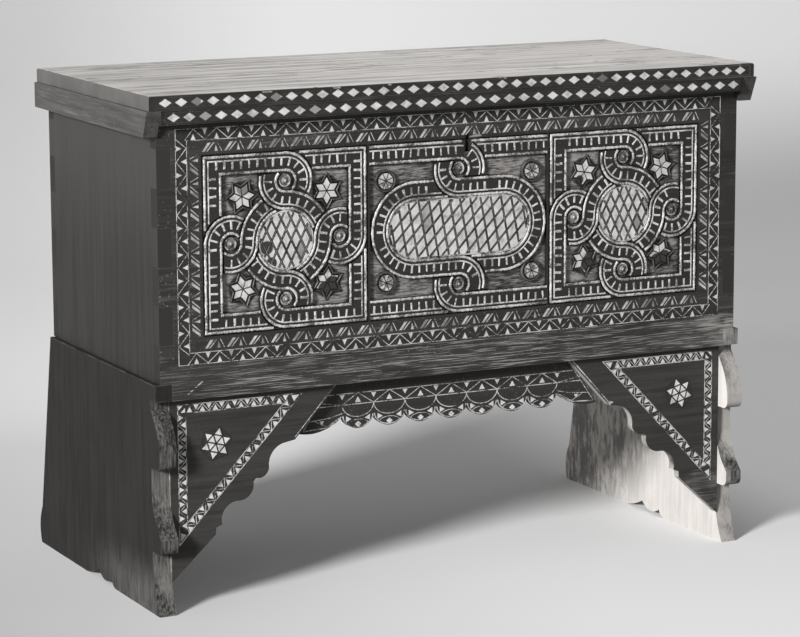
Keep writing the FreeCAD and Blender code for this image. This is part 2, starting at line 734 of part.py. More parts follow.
for label, sign in (("left_bracket", -1), ("right_bracket", 1)):
    steps = []
    for step in bracket_edge:
        shares = zip(step[::2], step[1::2])
        pairs = [bracket_point(sign, u * bracket_width, w * bracket_drop) for u, w in shares]
        steps.append(sum(pairs, ()))
    steps.append(bracket_point(sign, 0, 0))
    curves = outline(bracket_point(sign, bracket_width, 0), steps)
    board = sawn_board(label + "_body", "XZ_Plane", curves, "bracket_thick", "y", f"{front} + bracket_set")
    border_ring = polygon(field_corners(sign, 0)).cut(polygon(field_corners(sign, bracket_border)))
    middle = field_corners(sign, bracket_border / 2)
    star_u, star_w = (start + star_share * length for start, length in zip(border_corner, field))
    centre = bracket_point(sign, star_u, star_w)
    first = upright + sign * star_lean
    star_bed = polygon([polar(centre, bracket_star + joint, first + turn * sixth) for turn in range(6)])
    bracket_tiles = triangle_star(centre, bracket_star, first)
    for start, end in zip(middle, middle[1:] + middle[:1]):
        run = Vector(end[0] - start[0], 0, end[1] - start[1])
        trim = run * (bracket_border / 2 / run.Length)
        ends = ((start[0] + trim.x, start[1] + trim.z), (end[0] - trim.x, end[1] - trim.z))
        shares = (bracket_base, bracket_rise)
        bracket_tiles += triangle_row(*ends, bracket_border, size("bracket_pitch"), *shares)
    bed_solids = [push(face, bed, bracket_y) for face in (border_ring, star_bed)]
    beds = shaped(label + "_beds", Part.makeCompound(bed_solids))
    keep(cut(label + "_cut", board, [beds]), label)
    tiles(label + "_triangles", bracket_tiles, bracket_y)

# The apron: a board behind the brackets with a scalloped lower edge
pitch = size("scallop_pitch")
cusp_z = rail_foot - size("apron_cusp")
scallop_z = cusp_z - size("scallop_drop")
whole_scallops = int(size(f"2 * {apron_half} / scallop_pitch"))
first_cusp = -whole_scallops * pitch / 2
top_x = size(apron_half)
foot_x = top_x + size("apron_flare")
apron_steps = [(-foot_x, scallop_z)]
end_middle = ((first_cusp - foot_x) / 2 + pitch / 8, scallop_z + size("scallop_drop") / 8)
apron_steps.append((*end_middle, first_cusp, cusp_z))
for index in range(whole_scallops):
    start_x = first_cusp + index * pitch
    apron_steps.append((start_x + pitch / 2, scallop_z, start_x + pitch, cusp_z))
apron_steps.append((-end_middle[0], end_middle[1], foot_x, scallop_z))
apron_steps.append((top_x, rail_foot))
apron_curves = outline((-top_x, rail_foot), apron_steps)
apron_place = f"{front} + bracket_set + bracket_thick"
apron = sawn_board("apron_body", "XZ_Plane", apron_curves, "apron_thick", "y", apron_place)
keep(apron, "scalloped_apron")

# The hinges: knuckles by turns on a leaf nailed to the box's back and one nailed to the lid's back edge.
# The pin is forged in one with the box's leaf and turns in the lid's knuckles
axis_y, axis_z = size(hinge_y), size(hinge_z)
knuckle = size("knuckle_radius")
clear = size("knuckle_clear")
pin_radius = size("pin_radius")
bore = pin_radius + size("pin_clear")
leaf_thick = size("leaf_thick")
knuckle_count = int(size("knuckle_count"))
along_x = Vector(1, 0, 0)
knuckle_length = size("hinge_width") / knuckle_count


def rod(radius, x, length):
    return Part.makeCylinder(radius, length, Vector(x, axis_y, axis_z), along_x)


def hinge_leaf(place, which, low, high):
    start = place - size("hinge_width") / 2
    plate = Part.makeBox(size("hinge_width"), leaf_thick, high - low, Vector(start, back_y, low))
    clears, rings = [], []
    for index in range(knuckle_count):
        x = start + index * knuckle_length
        if index % 2 == which:
            rings.append(rod(knuckle, x + clear / 2, knuckle_length - clear))
        else:
            clears.append(rod(knuckle + clear, x - clear / 2, knuckle_length + clear))
    return plate.cut(clears).fuse(rings).removeSplitter()


def nail_places(place, z):
    spread = size("hinge_width / 2 - nail_inset")
    return [(place - spread, z), (place + spread, z)]


def nail(width, place, length, y):
    corner = Vector(place[0] - width / 2, y, place[1] - width / 2)
    return Part.makeBox(width, length, width, corner)


nail_width, nail_head, nail_length = size("nail_width"), size("nail_head"), size("nail_length")
head_y = back_y + leaf_thick
low_row, high_row = size(f"{box_top} - nail_low"), size(f"{box_top} - nail_high")
lid_nail_z = size(f"{lid_base} + nail_lid")
box_shanks, lid_shanks, box_nails, lid_nails = [], [], [], []
for label, place in (("left_hinge", -size(hinge_place)), ("right_hinge", size(hinge_place))):
    box_places = nail_places(place, low_row) + nail_places(place, high_row)
    lid_places = nail_places(place, lid_nail_z)
    start = place - size("hinge_width") / 2
    box_leaf = hinge_leaf(place, 0, size(f"{box_top} - leaf_drop"), size(box_top))
    pin = rod(pin_radius, start + knuckle_length / 2, size("hinge_width") - knuckle_length)
    box_leaf = box_leaf.fuse(pin).removeSplitter()
    lid_leaf = hinge_leaf(place, 1, size(lid_base), size(f"{lid_base} + leaf_rise"))
    lid_leaf = lid_leaf.cut(rod(bore, start, size("hinge_width")))
    for end, leaf, places, shanks, nails in (
        ("box_leaf", box_leaf, box_places, box_shanks, box_nails),
        ("lid_leaf", lid_leaf, lid_places, lid_shanks, lid_nails),
    ):
        stems = [nail(nail_width, spot, nail_length + leaf_thick, back_y - nail_length) for spot in places]
        heads = [nail(nail_head, spot, size("nail_rise"), head_y) for spot in places]
        shanks += stems
        nails += [stem.fuse(head).removeSplitter() for stem, head in zip(stems, heads)]
        keep(shaped(f"{label}_{end}_iron", leaf.cut(stems)), f"{label}_{end}")
keep(shaped("box_nails_iron", Part.makeCompound(box_nails)), "hinge_box_nails")
keep(shaped("lid_nails_iron", Part.makeCompound(lid_nails)), "hinge_lid_nails")
back_holes = shaped("back_nail_holes", Part.makeCompound(box_shanks))
keep(cut("back_cut", back_blank, back_sockets + [back_holes]), "back_board")
lid_holes = shaped("lid_nail_holes", Part.makeCompound(lid_shanks))
keep(cut("lid_cut", lid_round, [lid_groove, lid_holes]), "lid_board")

doc.recompute()
for item in doc.Objects:
    if "Invalid" in item.State or "Error" in item.State:
        raise RuntimeError(f"{item.Name} failed: {item.State}")
for item in sub_parts:
    if item.Shape.isNull() or not item.Shape.isValid() or item.Shape.Volume <= 0:
        raise RuntimeError(f"{item.Label} has no sound shape")

os.makedirs("parts", exist_ok=True)
for item in sub_parts:
    item.Shape.exportStep(f"parts/{item.Label}.step")
    box = item.Shape.BoundBox
    spans = (box.XMin, box.XMax, box.YMin, box.YMax, box.ZMin, box.ZMax)
    print(item.Label, len(item.Shape.Solids), "solids", [round(number, 1) for number in spans])
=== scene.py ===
import math
import random

import bpy
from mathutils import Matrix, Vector


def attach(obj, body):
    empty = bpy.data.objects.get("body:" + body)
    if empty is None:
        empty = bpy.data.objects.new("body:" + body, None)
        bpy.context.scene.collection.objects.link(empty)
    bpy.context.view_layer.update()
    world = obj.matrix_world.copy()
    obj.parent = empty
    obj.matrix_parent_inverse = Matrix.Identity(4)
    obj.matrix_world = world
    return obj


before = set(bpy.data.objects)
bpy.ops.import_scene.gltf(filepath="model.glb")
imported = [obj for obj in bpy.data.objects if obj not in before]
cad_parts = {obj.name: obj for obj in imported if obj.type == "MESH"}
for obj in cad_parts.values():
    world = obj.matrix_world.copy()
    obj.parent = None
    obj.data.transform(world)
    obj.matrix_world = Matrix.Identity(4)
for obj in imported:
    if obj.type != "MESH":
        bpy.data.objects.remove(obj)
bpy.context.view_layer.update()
print("chest loaded:", len(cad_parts), "nodes")

mm = 0.001
warm = 0.05  # how far the greys lean to brown


# a grey step of the print, as light, with a little of the wood's warmth
def tone(step, warmth=warm):
    share = step / 255
    light = share / 12.92 if share <= 0.04045 else ((share + 0.055) / 1.055) ** 2.4
    return (light * (1 + warmth), light, light * (1 - warmth), 1.0)


class Signal:  # one shader socket that takes part in sums
    def __init__(self, finish, socket):
        self.finish, self.socket = finish, socket

    def maths(self, operation, *values):
        return self.finish.make("ShaderNodeMath", {"operation": operation}, dict(enumerate(values)))

    def __add__(self, other):
        return self.maths("ADD", self, other)

    def __radd__(self, other):
        return self.maths("ADD", other, self)

    def __sub__(self, other):
        return self.maths("SUBTRACT", self, other)

    def __rsub__(self, other):
        return self.maths("SUBTRACT", other, self)

    def __mul__(self, other):
        return self.maths("MULTIPLY", self, other)

    def __rmul__(self, other):
        return self.maths("MULTIPLY", other, self)

    def __abs__(self):
        return self.maths("ABSOLUTE", self)

    def floor(self):
        return self.maths("FLOOR", self)

    def most(self, other):
        return self.maths("MAXIMUM", self, other)

    def least(self, other):
        return self.maths("MINIMUM", self, other)

    def ramp(self, low, high):  # 0 below low, 1 above high, smooth between
        settings = {"interpolation_type": "SMOOTHSTEP"}
        return self.finish.make("ShaderNodeMapRange", settings, {"Value": self, "From Min": low, "From Max": high})


class Finish:  # one material and its nodes
    def __init__(self, name):
        self.material = bpy.data.materials.new(name)
        self.material.use_nodes = True
        self.tree = self.material.node_tree
        self.shader = self.tree.nodes["Principled BSDF"]
        self.place = self.make("ShaderNodeTexCoord", output="Object")
        self.x, self.y, self.z = self.axes(self.place)

    def make(self, kind, settings=None, inputs=None, output=0):
        node = self.tree.nodes.new(kind)
        for name, value in (settings or {}).items():
            setattr(node, name, value)
        for name, value in (inputs or {}).items():
            if isinstance(value, Signal):
                self.tree.links.new(value.socket, node.inputs[name])
            else:
                node.inputs[name].default_value = value
        return Signal(self, node.outputs[output])

    def axes(self, vector):
        node = self.make("ShaderNodeSeparateXYZ", {}, {0: vector}).socket.node
        return [Signal(self, socket) for socket in node.outputs]

    def facing(self, axis):  # how far a face looks along x, y or z
        return self.axes(self.make("ShaderNodeTexCoord", output="Normal"))["xyz".index(axis)]

    def noise(self, stretch, detail, rough):
        spread = self.make("ShaderNodeMapping", {}, {"Vector": self.place, "Scale": stretch})
        inputs = {"Vector": spread, "Scale": 1.0, "Detail": detail, "Roughness": rough}
        return self.make("ShaderNodeTexNoise", {}, inputs)

    def mix(self, share, first, second):
        return self.make("ShaderNodeMix", {"data_type": "RGBA"}, {0: share, 6: first, 7: second}, 2)

    def near(self, *spots):  # 1 within reach of any (x, z, reach) spot on the front, fading at its rim
        whole = None
        for x, z, reach in spots:
            across, up, size = self.x - x * mm, self.z - z * mm, (reach * mm) ** 2
            spot = 1 - (across * across + up * up).ramp(size * 0.8, size * 1.2)
            whole = whole.most(spot) if whole else spot
        return whole

    def cellChance(self, origin, across, down):  # a chance of its own for each tile of a lattice on the front
        x, z = self.x - origin[0] * mm, self.z - origin[1] * mm
        area = (across[0] * down[1] - across[1] * down[0]) * mm
        first = x * (down[1] / area) - z * (down[0] / area) + 0.5
        second = z * (across[0] / area) - x * (across[1] / area) + 0.5
        cell = self.make("ShaderNodeCombineXYZ", {}, {"X": first.floor(), "Y": second.floor()})
        return self.make("ShaderNodeTexWhiteNoise", {}, {"Vector": cell})

    def edges(self, radius):  # 1 on sharp edges, from a rounded normal
        rounded = self.make("ShaderNodeBevel", {"samples": 4}, {"Radius": radius * mm})
        straight = self.make("ShaderNodeNewGeometry", output="Normal")
        dot = {"operation": "DOT_PRODUCT"}
        match = self.make("ShaderNodeVectorMath", dot, {0: rounded, 1: straight}, "Value")
        return (1 - match).ramp(0.02, 0.3)

    def hollows(self, reach):  # 1 deep in the carving's corners, 0 on open faces; used to paint shade there
        inputs = {"Distance": reach * mm}
        openness = self.make("ShaderNodeAmbientOcclusion", {"samples": 6}, inputs, "AO")
        return 1 - openness.ramp(0.3, 0.85)

    def finishWith(self, colour, roughness, height, depth, distance):
        bump = self.make("ShaderNodeBump", {}, {"Height": height, "Strength": depth, "Distance": distance})
        for signal, socket in ((colour, "Base Color"), (roughness, "Roughness"), (bump, "Normal")):
            self.tree.links.new(signal.socket, self.shader.inputs[socket])
        return self.material


# the carved front, in millimetres: y of its faces, then x and z about the middle of the panels
front = {"face": -283.0, "ground": -277.0, "middle": 639.0, "sidePanel": 336.0, "frame": (540.0, 204.0),
         "border": 23.0, "strapLine": 136.5, "ringLine": 69.5, "eyePlace": 103.0, "eye": 33.5, "eyeReach": 62.0,
         "ringStraight": 87.0, "middleHalf": 176.0, "disc": 52.0}
starFrame = {"outer": 31.0, "inner": 18.5, "width": 2.0, "sink": 0.3, "shoulder": 2.0, "rise": 3.0, "bed": 27.0,
             "places": [(x, z) for x in (-80.0, 80.0) for z in (-80.0, 80.0)],
             "turns": {-1: (42, 5, 25, 30), 1: (35, 20, 8, 12)}}
depths = {"strap": (-0.2826, -0.2822), "ground": (-0.2785, -0.2775), "behind": (-0.262, -0.26)}  # fades, in metres
grainAlong = {"x": (3, 70, 70), "y": (70, 3, 70), "z": (70, 70, 3)}


# old timber: grain, fibres, rubbed edges, streaks and scratches, with tones as steps of grey
def woodFinish(name, settings):
    f = Finish(name)
    along = grainAlong[settings["grain"]]
    grain = f.noise(along, 6.0, 0.6)
    streaks = f.noise(tuple(value * 2.4 for value in along), 2.0, 0.5)
    nicks = f.noise((230, 230, 230), 2.0, 0.5)
    f.fibres = fibres = f.noise(tuple(value * 5 for value in along), 3.0, 0.6)  # the zones below use these two
    f.patches = patches = f.noise((9, 9, 9), 5.0, 0.62)
    blend = (grain * 0.6 + fibres * 0.25 + patches * 0.15).ramp(0.33, 0.68)
    rubbed = (streaks * 0.7 + patches * 0.3).ramp(0.56, 0.72) * settings["streaks"]
    rubbed = rubbed.most(f.edges(settings["edgeWidth"]) * patches.ramp(0.3, 0.62) * settings["edges"])
    rubbed = rubbed.most(nicks.ramp(0.63, 0.7) * patches.ramp(0.35, 0.6) * settings["nicks"])
    for zone in settings.get("zones", ()):
        rubbed = rubbed.most(zone(f))
    colour = f.mix(blend, tone(settings["dark"]), tone(settings["light"]))
    colour = f.mix(rubbed.least(1.0), colour, tone(settings["worn"]))
    for shade, zone in settings.get("shades", ()):
        colour = f.mix(zone(f), colour, tone(shade))
    # painted shade: darker deep in the carving's hollows, from ambient occlusion
    if "soilAndShade" in settings:
        colour = f.mix(f.hollows(settings["soilAndShade"]) * 0.9, colour, tone(settings["hollowShade"]))
    roughness = settings["rough"] + patches * 0.18 - rubbed * 0.05
    f.shader.inputs["Specular IOR Level"].default_value = 0.25
    return f.finishWith(colour, roughness, grain * 0.5 + fibres * 0.5 - rubbed * 0.3, settings["bump"], 0.0012)


def scoured(low, high, strength):  # a band, between two heights, scoured along the grain
    def zone(f):
        band = f.z.ramp(low * mm - 0.006, low * mm + 0.004) * (1 - f.z.ramp(high * mm - 0.004, high * mm + 0.006))
        lines = f.noise((17, 860, 860), 3.0, 0.5)
        rubbed = 0.35 + f.x.ramp(-0.57, -0.3) * 0.65  # less at the left end
        return (lines * 0.92 + f.patches * 0.08).ramp(0.54, 0.635) * band * rubbed * strength

    return zone


def rightWear(f):  # below the panels, the right end is rubbed bare
    worn = (f.patches * 0.5 + f.fibres * 0.5).ramp(0.42, 0.58)
    return f.x.ramp(0.4, 0.56) * (1 - f.z.ramp(0.425, 0.44)) * worn * 0.85


def scratch(f):  # a slanting score at the front rail's left end
    off = abs((f.x + 0.509) * 0.6 - (f.z - 0.396) * 0.8)
    return (1 - off.ramp(0.0006, 0.0016)) * f.near((-509, 396, 18)) * f.fibres.ramp(0.42, 0.54)


def sunkGround(f):  # the carved ground behind the straps is rough and pale
    sunk = f.y.ramp(*depths["ground"]) * (1 - f.y.ramp(*depths["behind"]))
    chisel = f.noise((60, 60, 380), 4.0, 0.65)
    return sunk * (chisel * 0.6 + f.patches * 0.4).ramp(0.38, 0.62)


def strapFace(f):  # the straps are dark between their beads
    panels = (1 - abs(f.x).ramp(0.493, 0.495)) * (1 - abs(f.z - front["middle"] * mm).ramp(0.157, 0.159))
    return panels * (1 - f.y.ramp(*depths["strap"])) * 0.8


def starShade(f):  # painted shade: the ground round the panel stars darkened, where their recesses lie in shade
    spots = [(side * front["sidePanel"] + x, front["middle"] + z, starFrame["bed"])
             for side in (-1, 1) for x, z in starFrame["places"]]
    return f.near(*spots) * f.y.ramp(*depths["ground"]) * 0.9


def sawnEnds(f):  # finger ends that show on the box's sides
    return abs(f.facing("x")).ramp(0.6, 0.9)


def frontEnds(f):  # finger ends that show on the front
    return (f.facing("y") * -1).ramp(0.6, 0.9) * (0.75 + f.fibres * 0.25)


def cutEdges(f):  # the brackets' bare sawn steps
    return (1 - abs(f.facing("y"))).ramp(0.4, 0.8) * f.patches.ramp(0.36, 0.56) * f.y.ramp(-0.2672, -0.2666)


def wornTip(f):  # the right bracket's foot is rubbed
    return f.near((515, 95, 46)) * (f.patches * 0.5 + f.fibres * 0.5).ramp(0.44, 0.6) * 0.8


def chipped(f):  # splintered wood beside the key slot
    torn = f.noise((40, 40, 240), 4.0, 0.6)
    return f.near((34, 790, 13), (24, 792, 7), (15, 766, 6)) * torn.ramp(0.4, 0.6)


def sideTop(f):  # the ends of the box are paler towards the rim
    return f.z.ramp(0.55, 0.84) * (0.3 + f.patches * 0.5)


def inside(f):  # bare wood within the box
    across = 1 - abs(f.x).ramp(0.5482, 0.5486)
    depth = f.y.ramp(-0.2574, -0.257) * (1 - f.y.ramp(0.211, 0.2114))
    return across * depth * f.z.ramp(0.4235, 0.4239)


carcass = {"grain": "x", "dark": 34, "light": 48, "worn": 118, "streaks": 0.22, "edges": 0.9, "edgeWidth": 2.0,
           "nicks": 0.5, "rough": 0.5, "bump": 0.35}
frontSettings = dict(carcass, dark=42, light=66, edges=0.3, worn=164, soilAndShade=9.0, hollowShade=12,
                     zones=(sunkGround, chipped, rightWear),
                     shades=((172, scoured(398, 436, 0.8)), (110, scoured(845, 880, 0.4)), (46, strapFace),
                             (14, starShade), (38, sawnEnds), (118, inside)))
sideSettings = dict(carcass, grain="z", dark=36, light=52, worn=72, streaks=0.25, edges=0.12, bump=0.1, nicks=0.3,
                    zones=(sideTop,), shades=((52, frontEnds), (118, inside)))
backSettings = dict(carcass, dark=42, light=58, streaks=0.15, edges=0.6, shades=((38, sawnEnds), (118, inside)))
bareSettings = dict(carcass, dark=95, light=128, worn=150, streaks=0.3, edges=0.3)
rimSettings = dict(carcass, dark=33, light=43, streaks=0.06, edges=0.7, bump=0.15)
sideRimSettings = dict(rimSettings, grain="y", dark=56, light=94, worn=128, streaks=0.4)
railSettings = dict(carcass, dark=46, light=70, worn=130, zones=(rightWear,),
                    shades=((180, scoured(370, 410, 0.78)), (190, scratch)))
bracketSettings = dict(carcass, dark=48, light=70, nicks=0.15, streaks=0.1, edges=0.2, bump=0.12,
                       zones=(wornTip,), shades=((185, cutEdges),))
apronSettings = dict(carcass, dark=46, light=60, streaks=0.05, edges=0.5, bump=0.15)


# the lid: a black front edge and a bleached top, cracked along its length
def lidFinish(name, settings):
    f = Finish(name)
    shade = {key: tone(settings[key]) for key in settings if key != "chipPlaces"}
    grain = f.noise((2.2, 60, 60), 6.0, 0.62)
    fibres = f.noise((9, 420, 420), 3.0, 0.6)
    patches = f.noise((3.2, 9, 9), 5.0, 0.6)
    stain = f.noise((1.6, 5, 5), 3.0, 0.5)
    cracks = f.noise((1.3, 85, 85), 2.0, 0.5)
    seams = f.noise((1.7, 26, 26), 3.0, 0.6)
    knots = f.noise((22, 46, 46), 2.0, 0.5).ramp(0.7, 0.74) * 0.8
    split = (1 - abs(cracks - 0.5).ramp(0.0, 0.02)) * patches.ramp(0.48, 0.58)
    seam = (1 - abs(seams - 0.5).ramp(0.004, 0.022)) * patches.ramp(0.49, 0.56) * 0.8
    blend = (grain * 0.5 + fibres * 0.25 + patches * 0.25).ramp(0.4, 0.56)
    top = f.mix(blend, shade["topDark"], shade["topLight"])
    top = f.mix(f.x.ramp(-0.4, 0.6) * 0.45, top, shade["topLight"])
    top = f.mix(stain.ramp(0.5, 0.72) * 0.5, top, shade["stain"])
    soiled = (1 - f.x.ramp(-0.58, -0.1)) * (patches * 0.5 + grain * 0.5).ramp(0.4, 0.58) * 0.3
    top = f.mix(soiled.most(f.y.ramp(0.19, 0.24) * 0.4), top, shade["soilAndShade"])  # the left end and the back edge
    top = f.mix(split.most(seam).most(knots), top, shade["crack"])
    edge = f.mix(blend, shade["edgeDark"], shade["edgeLight"])
    edge = f.mix(f.edges(4.0) * patches.ramp(0.46, 0.6) * 0.6, edge, shade["rubbed"])
    upper = f.facing("z").ramp(0.75, 0.95)
    colour = f.mix(upper, edge, top)
    sawn = abs(f.facing("x")).ramp(0.5, 0.8) * (0.55 + patches.ramp(0.4, 0.7) * 0.4)
    colour = f.mix(sawn, colour, shade["end"])
    torn = (f.facing("y") * -1).ramp(0.5, 0.8) * f.noise((70, 70, 190), 3.0, 0.6).ramp(0.42, 0.56)
    for place in settings["chipPlaces"]:
        colour = f.mix(f.near((*place, 9)) * torn, colour, shade["chips"])
    under = f.mix(blend, shade["underDark"], shade["underLight"])
    colour = f.mix((f.facing("z") * -1).ramp(0.5, 0.8), colour, under)
    roughness = 0.5 + patches * 0.15 - upper * 0.12
    return f.finishWith(colour, roughness, grain * 0.5 + fibres * 0.4 - split * 1.5, 0.4, 0.0015)


lidSettings = {"topDark": 150, "topLight": 242, "stain": 124, "soilAndShade": 116, "crack": 48, "edgeDark": 30,
               "edgeLight": 40, "rubbed": 150, "end": 106, "chips": 158, "underDark": 105, "underLight": 140,
               "chipPlaces": ((-379, 900), (-250, 900), (-153, 896), (72, 900), (266, 899), (560, 893))}


# the stand's end boards: dark outside, bare and pale inside and on the sawn front edges
def endBoardFinish(name, settings):
    f = Finish(name)
    grain = f.noise((60, 60, 4), 6.0, 0.62)
    fibres = f.noise((300, 300, 16), 3.0, 0.6)
    patches = f.noise((11, 11, 7), 6.0, 0.66)
    fur = f.noise((90, 90, 24), 4.0, 0.65)
    blots = f.noise((19, 19, 14), 4.0, 0.6)
    blend = (grain * 0.4 + fibres * 0.25 + patches * 0.35).ramp(0.38, 0.6)
    outer = f.mix(blend, tone(settings["dark"]), tone(settings["light"]))
    foot = (1 - f.z.ramp(0.01, 0.11)) * (1 - f.y.ramp(-0.2, 0.12)) * (patches * 0.6 + fibres * 0.4).ramp(0.36, 0.6)
    rub = f.edges(5.0) * patches.ramp(0.42, 0.62) * 0.7
    outer = f.mix((foot * settings["footWear"]).most(rub), outer, tone(settings["worn"]))
    height = f.z * 2.6 + f.y * 2.2 + blots * 0.5 + fur * 0.4
    mottle = (fur * 0.6 + blots * 0.4).ramp(0.43, 0.57)
    inner = f.mix(1 - height.ramp(0.62, 0.9),
                  f.mix(mottle, tone(settings["innerDark"]), tone(settings["innerLight"])),
                  f.mix(blend, tone(settings["paleDark"]), tone(settings["paleLight"])))
    colour = f.mix((f.facing("x") * settings["inward"]).ramp(0.4, 0.7), outer, inner)
    low, top, rough = settings["sawnLow"], settings["sawnTop"], settings["fur"]
    sawn = (f.facing("y") * -1).ramp(0.25, 0.6) * (1 - f.z.ramp(top - 0.006, top))
    sawn = sawn * (patches * (1 - rough) + fibres * rough).ramp(low, low + 0.25)
    colour = f.mix(sawn * settings["sawn"], colour, tone(settings["sawnTone"]))
    f.shader.inputs["Specular IOR Level"].default_value = 0.2
    return f.finishWith(colour, 0.62 + patches * 0.2, grain * 0.5 + fibres * 0.5, 0.35, 0.0012)


leftEnd = {"dark": 29, "light": 42, "worn": 108, "footWear": 0.7, "inward": 1.0, "innerDark": 60, "innerLight": 84,
           "paleDark": 110, "paleLight": 150, "sawn": 0.8, "sawnTone": 132, "sawnLow": 0.41, "sawnTop": 0.376,
           "fur": 0.45}
rightEnd = dict(leftEnd, inward=-1.0, innerDark=166, innerLight=250, paleDark=206, paleLight=228, sawn=0.95,
                sawnTone=188, sawnLow=0.32, sawnTop=0.42, fur=0.2)


# pearl shell: each tile its own tone, some greyed, a few lost
def pearlFinish(name, settings):
    f = Finish(name)
    chance = f.cellChance(*settings["cells"])
    cloud = f.noise((60, 60, 60), 4.0, 0.6)
    bands = f.noise((140, 140, 420), 2.0, 0.5)
    grey, limit = tone(settings["grey"], 0.03), 1 - settings["greyed"]
    pale = f.mix(cloud.ramp(0.3, 0.7), tone(settings["low"], 0.02), tone(settings["high"], 0.015))
    colour = f.mix(chance.ramp(limit - 0.02, limit + 0.02) * 0.6 + chance * 0.12, pale, grey)
    soiled = (1 - cloud).ramp(0.55, 0.75) * 0.5
    soiled = soiled.most(f.edges(settings["rim"]) * (0.6 + cloud * 0.5))
    colour = f.mix(soiled, colour, grey)
    for x, z, reach, step in settings.get("marks", ()):  # lost or dulled tiles
        colour = f.mix(f.near((x, z, reach)), colour, tone(step))
    roughness = 0.22 + cloud * 0.2 + soiled * 0.3
    f.shader.inputs["Specular IOR Level"].default_value = 0.6
    return f.finishWith(colour, roughness, cloud * 0.4 + bands * 0.6, 0.15, 0.0004)


pearl = {"low": 196, "high": 240, "grey": 100, "greyed": 0.07, "rim": 2.0,
         "cells": ((-506.2, 631.0), (21.54, 0), (0, 22.6))}
roundelCells, medallionCells = ((9.25, -18.5), (9.25, 18.5)), ((4.0, -21.0), (17.0, 18.0))
leftCells, rightCells = (((side * front["sidePanel"], front["middle"]), *roundelCells) for side in (-1, 1))
lidRow, rimRow = {"reach": 586.0, "z": 889.9}, {"reach": 565.0, "z": 864.5}
starMarks = ((-246, 553, 16, 46), (-262, 548, 12, 46), (265, 552, 15, 46), (272, 566, 11, 46), (410, 545, 15, 46),
             (426, 552, 13, 46), (246, 706, 8, 46), (-413, 734, 13, 128))
roundelMarks = ((-373, 628, 12, 52), (-364, 601, 10, 52))
lidMarks = [(x, lidRow["z"], 13, step) for x, step in ((-513.8, 128), (-367.0, 132), (278.9, 112))]
rimMarks = [(x, rimRow["z"], 13, step) for x, step in ((-493.4, 158), (-290.2, 158), (406.3, 120))]


def shell(part, **changes):
    return pearlFinish("pearl shell, " + part, dict(pearl, **changes))


def tinFinish(name, settings):  # soft wire, oxidised in places
    f = Finish(name)
    cloud = f.noise((28, 28, 28), 5.0, 0.7)
    fine = f.noise((330, 330, 330), 3.0, 0.6)
    shine = (cloud * 0.65 + fine * 0.35).ramp(*settings["spread"])
    colour = f.mix(shine, tone(settings["dull"], 0.02), tone(settings["bright"], 0.02))
    # painted shade: darker deep in the carving's hollows, from ambient occlusion
    if "soilAndShade" in settings:
        colour = f.mix(f.hollows(settings["soilAndShade"]) * 0.75, colour, tone(settings["hollowShade"]))
    f.shader.inputs["Metallic"].default_value = settings["metal"]
    return f.finishWith(colour, 0.6 - shine * 0.2 + fine * 0.1, fine, 0.3, 0.0005)


tin = {"dull": 56, "bright": 228, "metal": 0.3, "spread": (0.41, 0.57)}
# carved wood that is rubbed pale takes the same finish
ridge = {"dull": 82, "bright": 224, "metal": 0.0, "spread": (0.4, 0.58), "soilAndShade": 2.5, "hollowShade": 18}


def masticFinish(name, settings):  # dark filler round the tiles, cracked and dusty
    f = Finish(name)
    cloud = f.noise((60, 60, 60), 5.0, 0.65)
    grit = f.noise((700, 700, 700), 3.0, 0.6)
    colour = f.mix((cloud * 0.6 + grit * 0.4).ramp(0.42, 0.7), tone(settings["dark"]), tone(settings["dust"]))
    return f.finishWith(colour, 0.7 + grit * 0.2, grit, 0.3, 0.0005)


def ironFinish(name, settings):
    f = Finish(name)
    cloud = f.noise((45, 45, 45), 6.0, 0.65)
    pits = f.noise((260, 260, 260), 4.0, 0.6)
    dark, rust = tone(settings["dark"], 0.03), tone(settings["rust"], 0.12)
    colour = f.mix((cloud * 0.7 + pits * 0.3).ramp(0.4, 0.68), dark, rust)
    f.shader.inputs["Metallic"].default_value = 0.75
    return f.finishWith(colour, 0.5 + pits * 0.3, pits * 0.7 + cloud * 0.3, 0.5, 0.0008)


pearlMiddle = shell("medallion", greyed=0.03, rim=1.0, cells=((0, front["middle"]), *medallionCells))
pearlBracket = shell("brackets", low=206, high=246, greyed=0.0, rim=0.9)
pearlBars = shell("bars", low=150, high=228, greyed=0.25)
tinWire = tinFinish("tin wire", tin)
dullTin = tinFinish("dull tin", dict(tin, dull=44, bright=150))
ridgeTone = tinFinish("rubbed ridge", ridge)
ladderTone = tinFinish("rubbed ladder", dict(ridge, dull=108, bright=232))
# painted shade: the rosette and star rims are dark to stand for the shadow ring round them
shadedRidge = tinFinish("ridge with painted shade", dict(ridge, dull=24, bright=92))
bossTone = tinFinish("rubbed boss", dict(ridge, dull=44, bright=156))
mastic = masticFinish("black mastic", {"dark": 36, "dust": 58})
paleMastic = masticFinish("dusty mastic", {"dark": 40, "dust": 62})
iron = ironFinish("forged iron", {"dark": 42, "rust": 92})

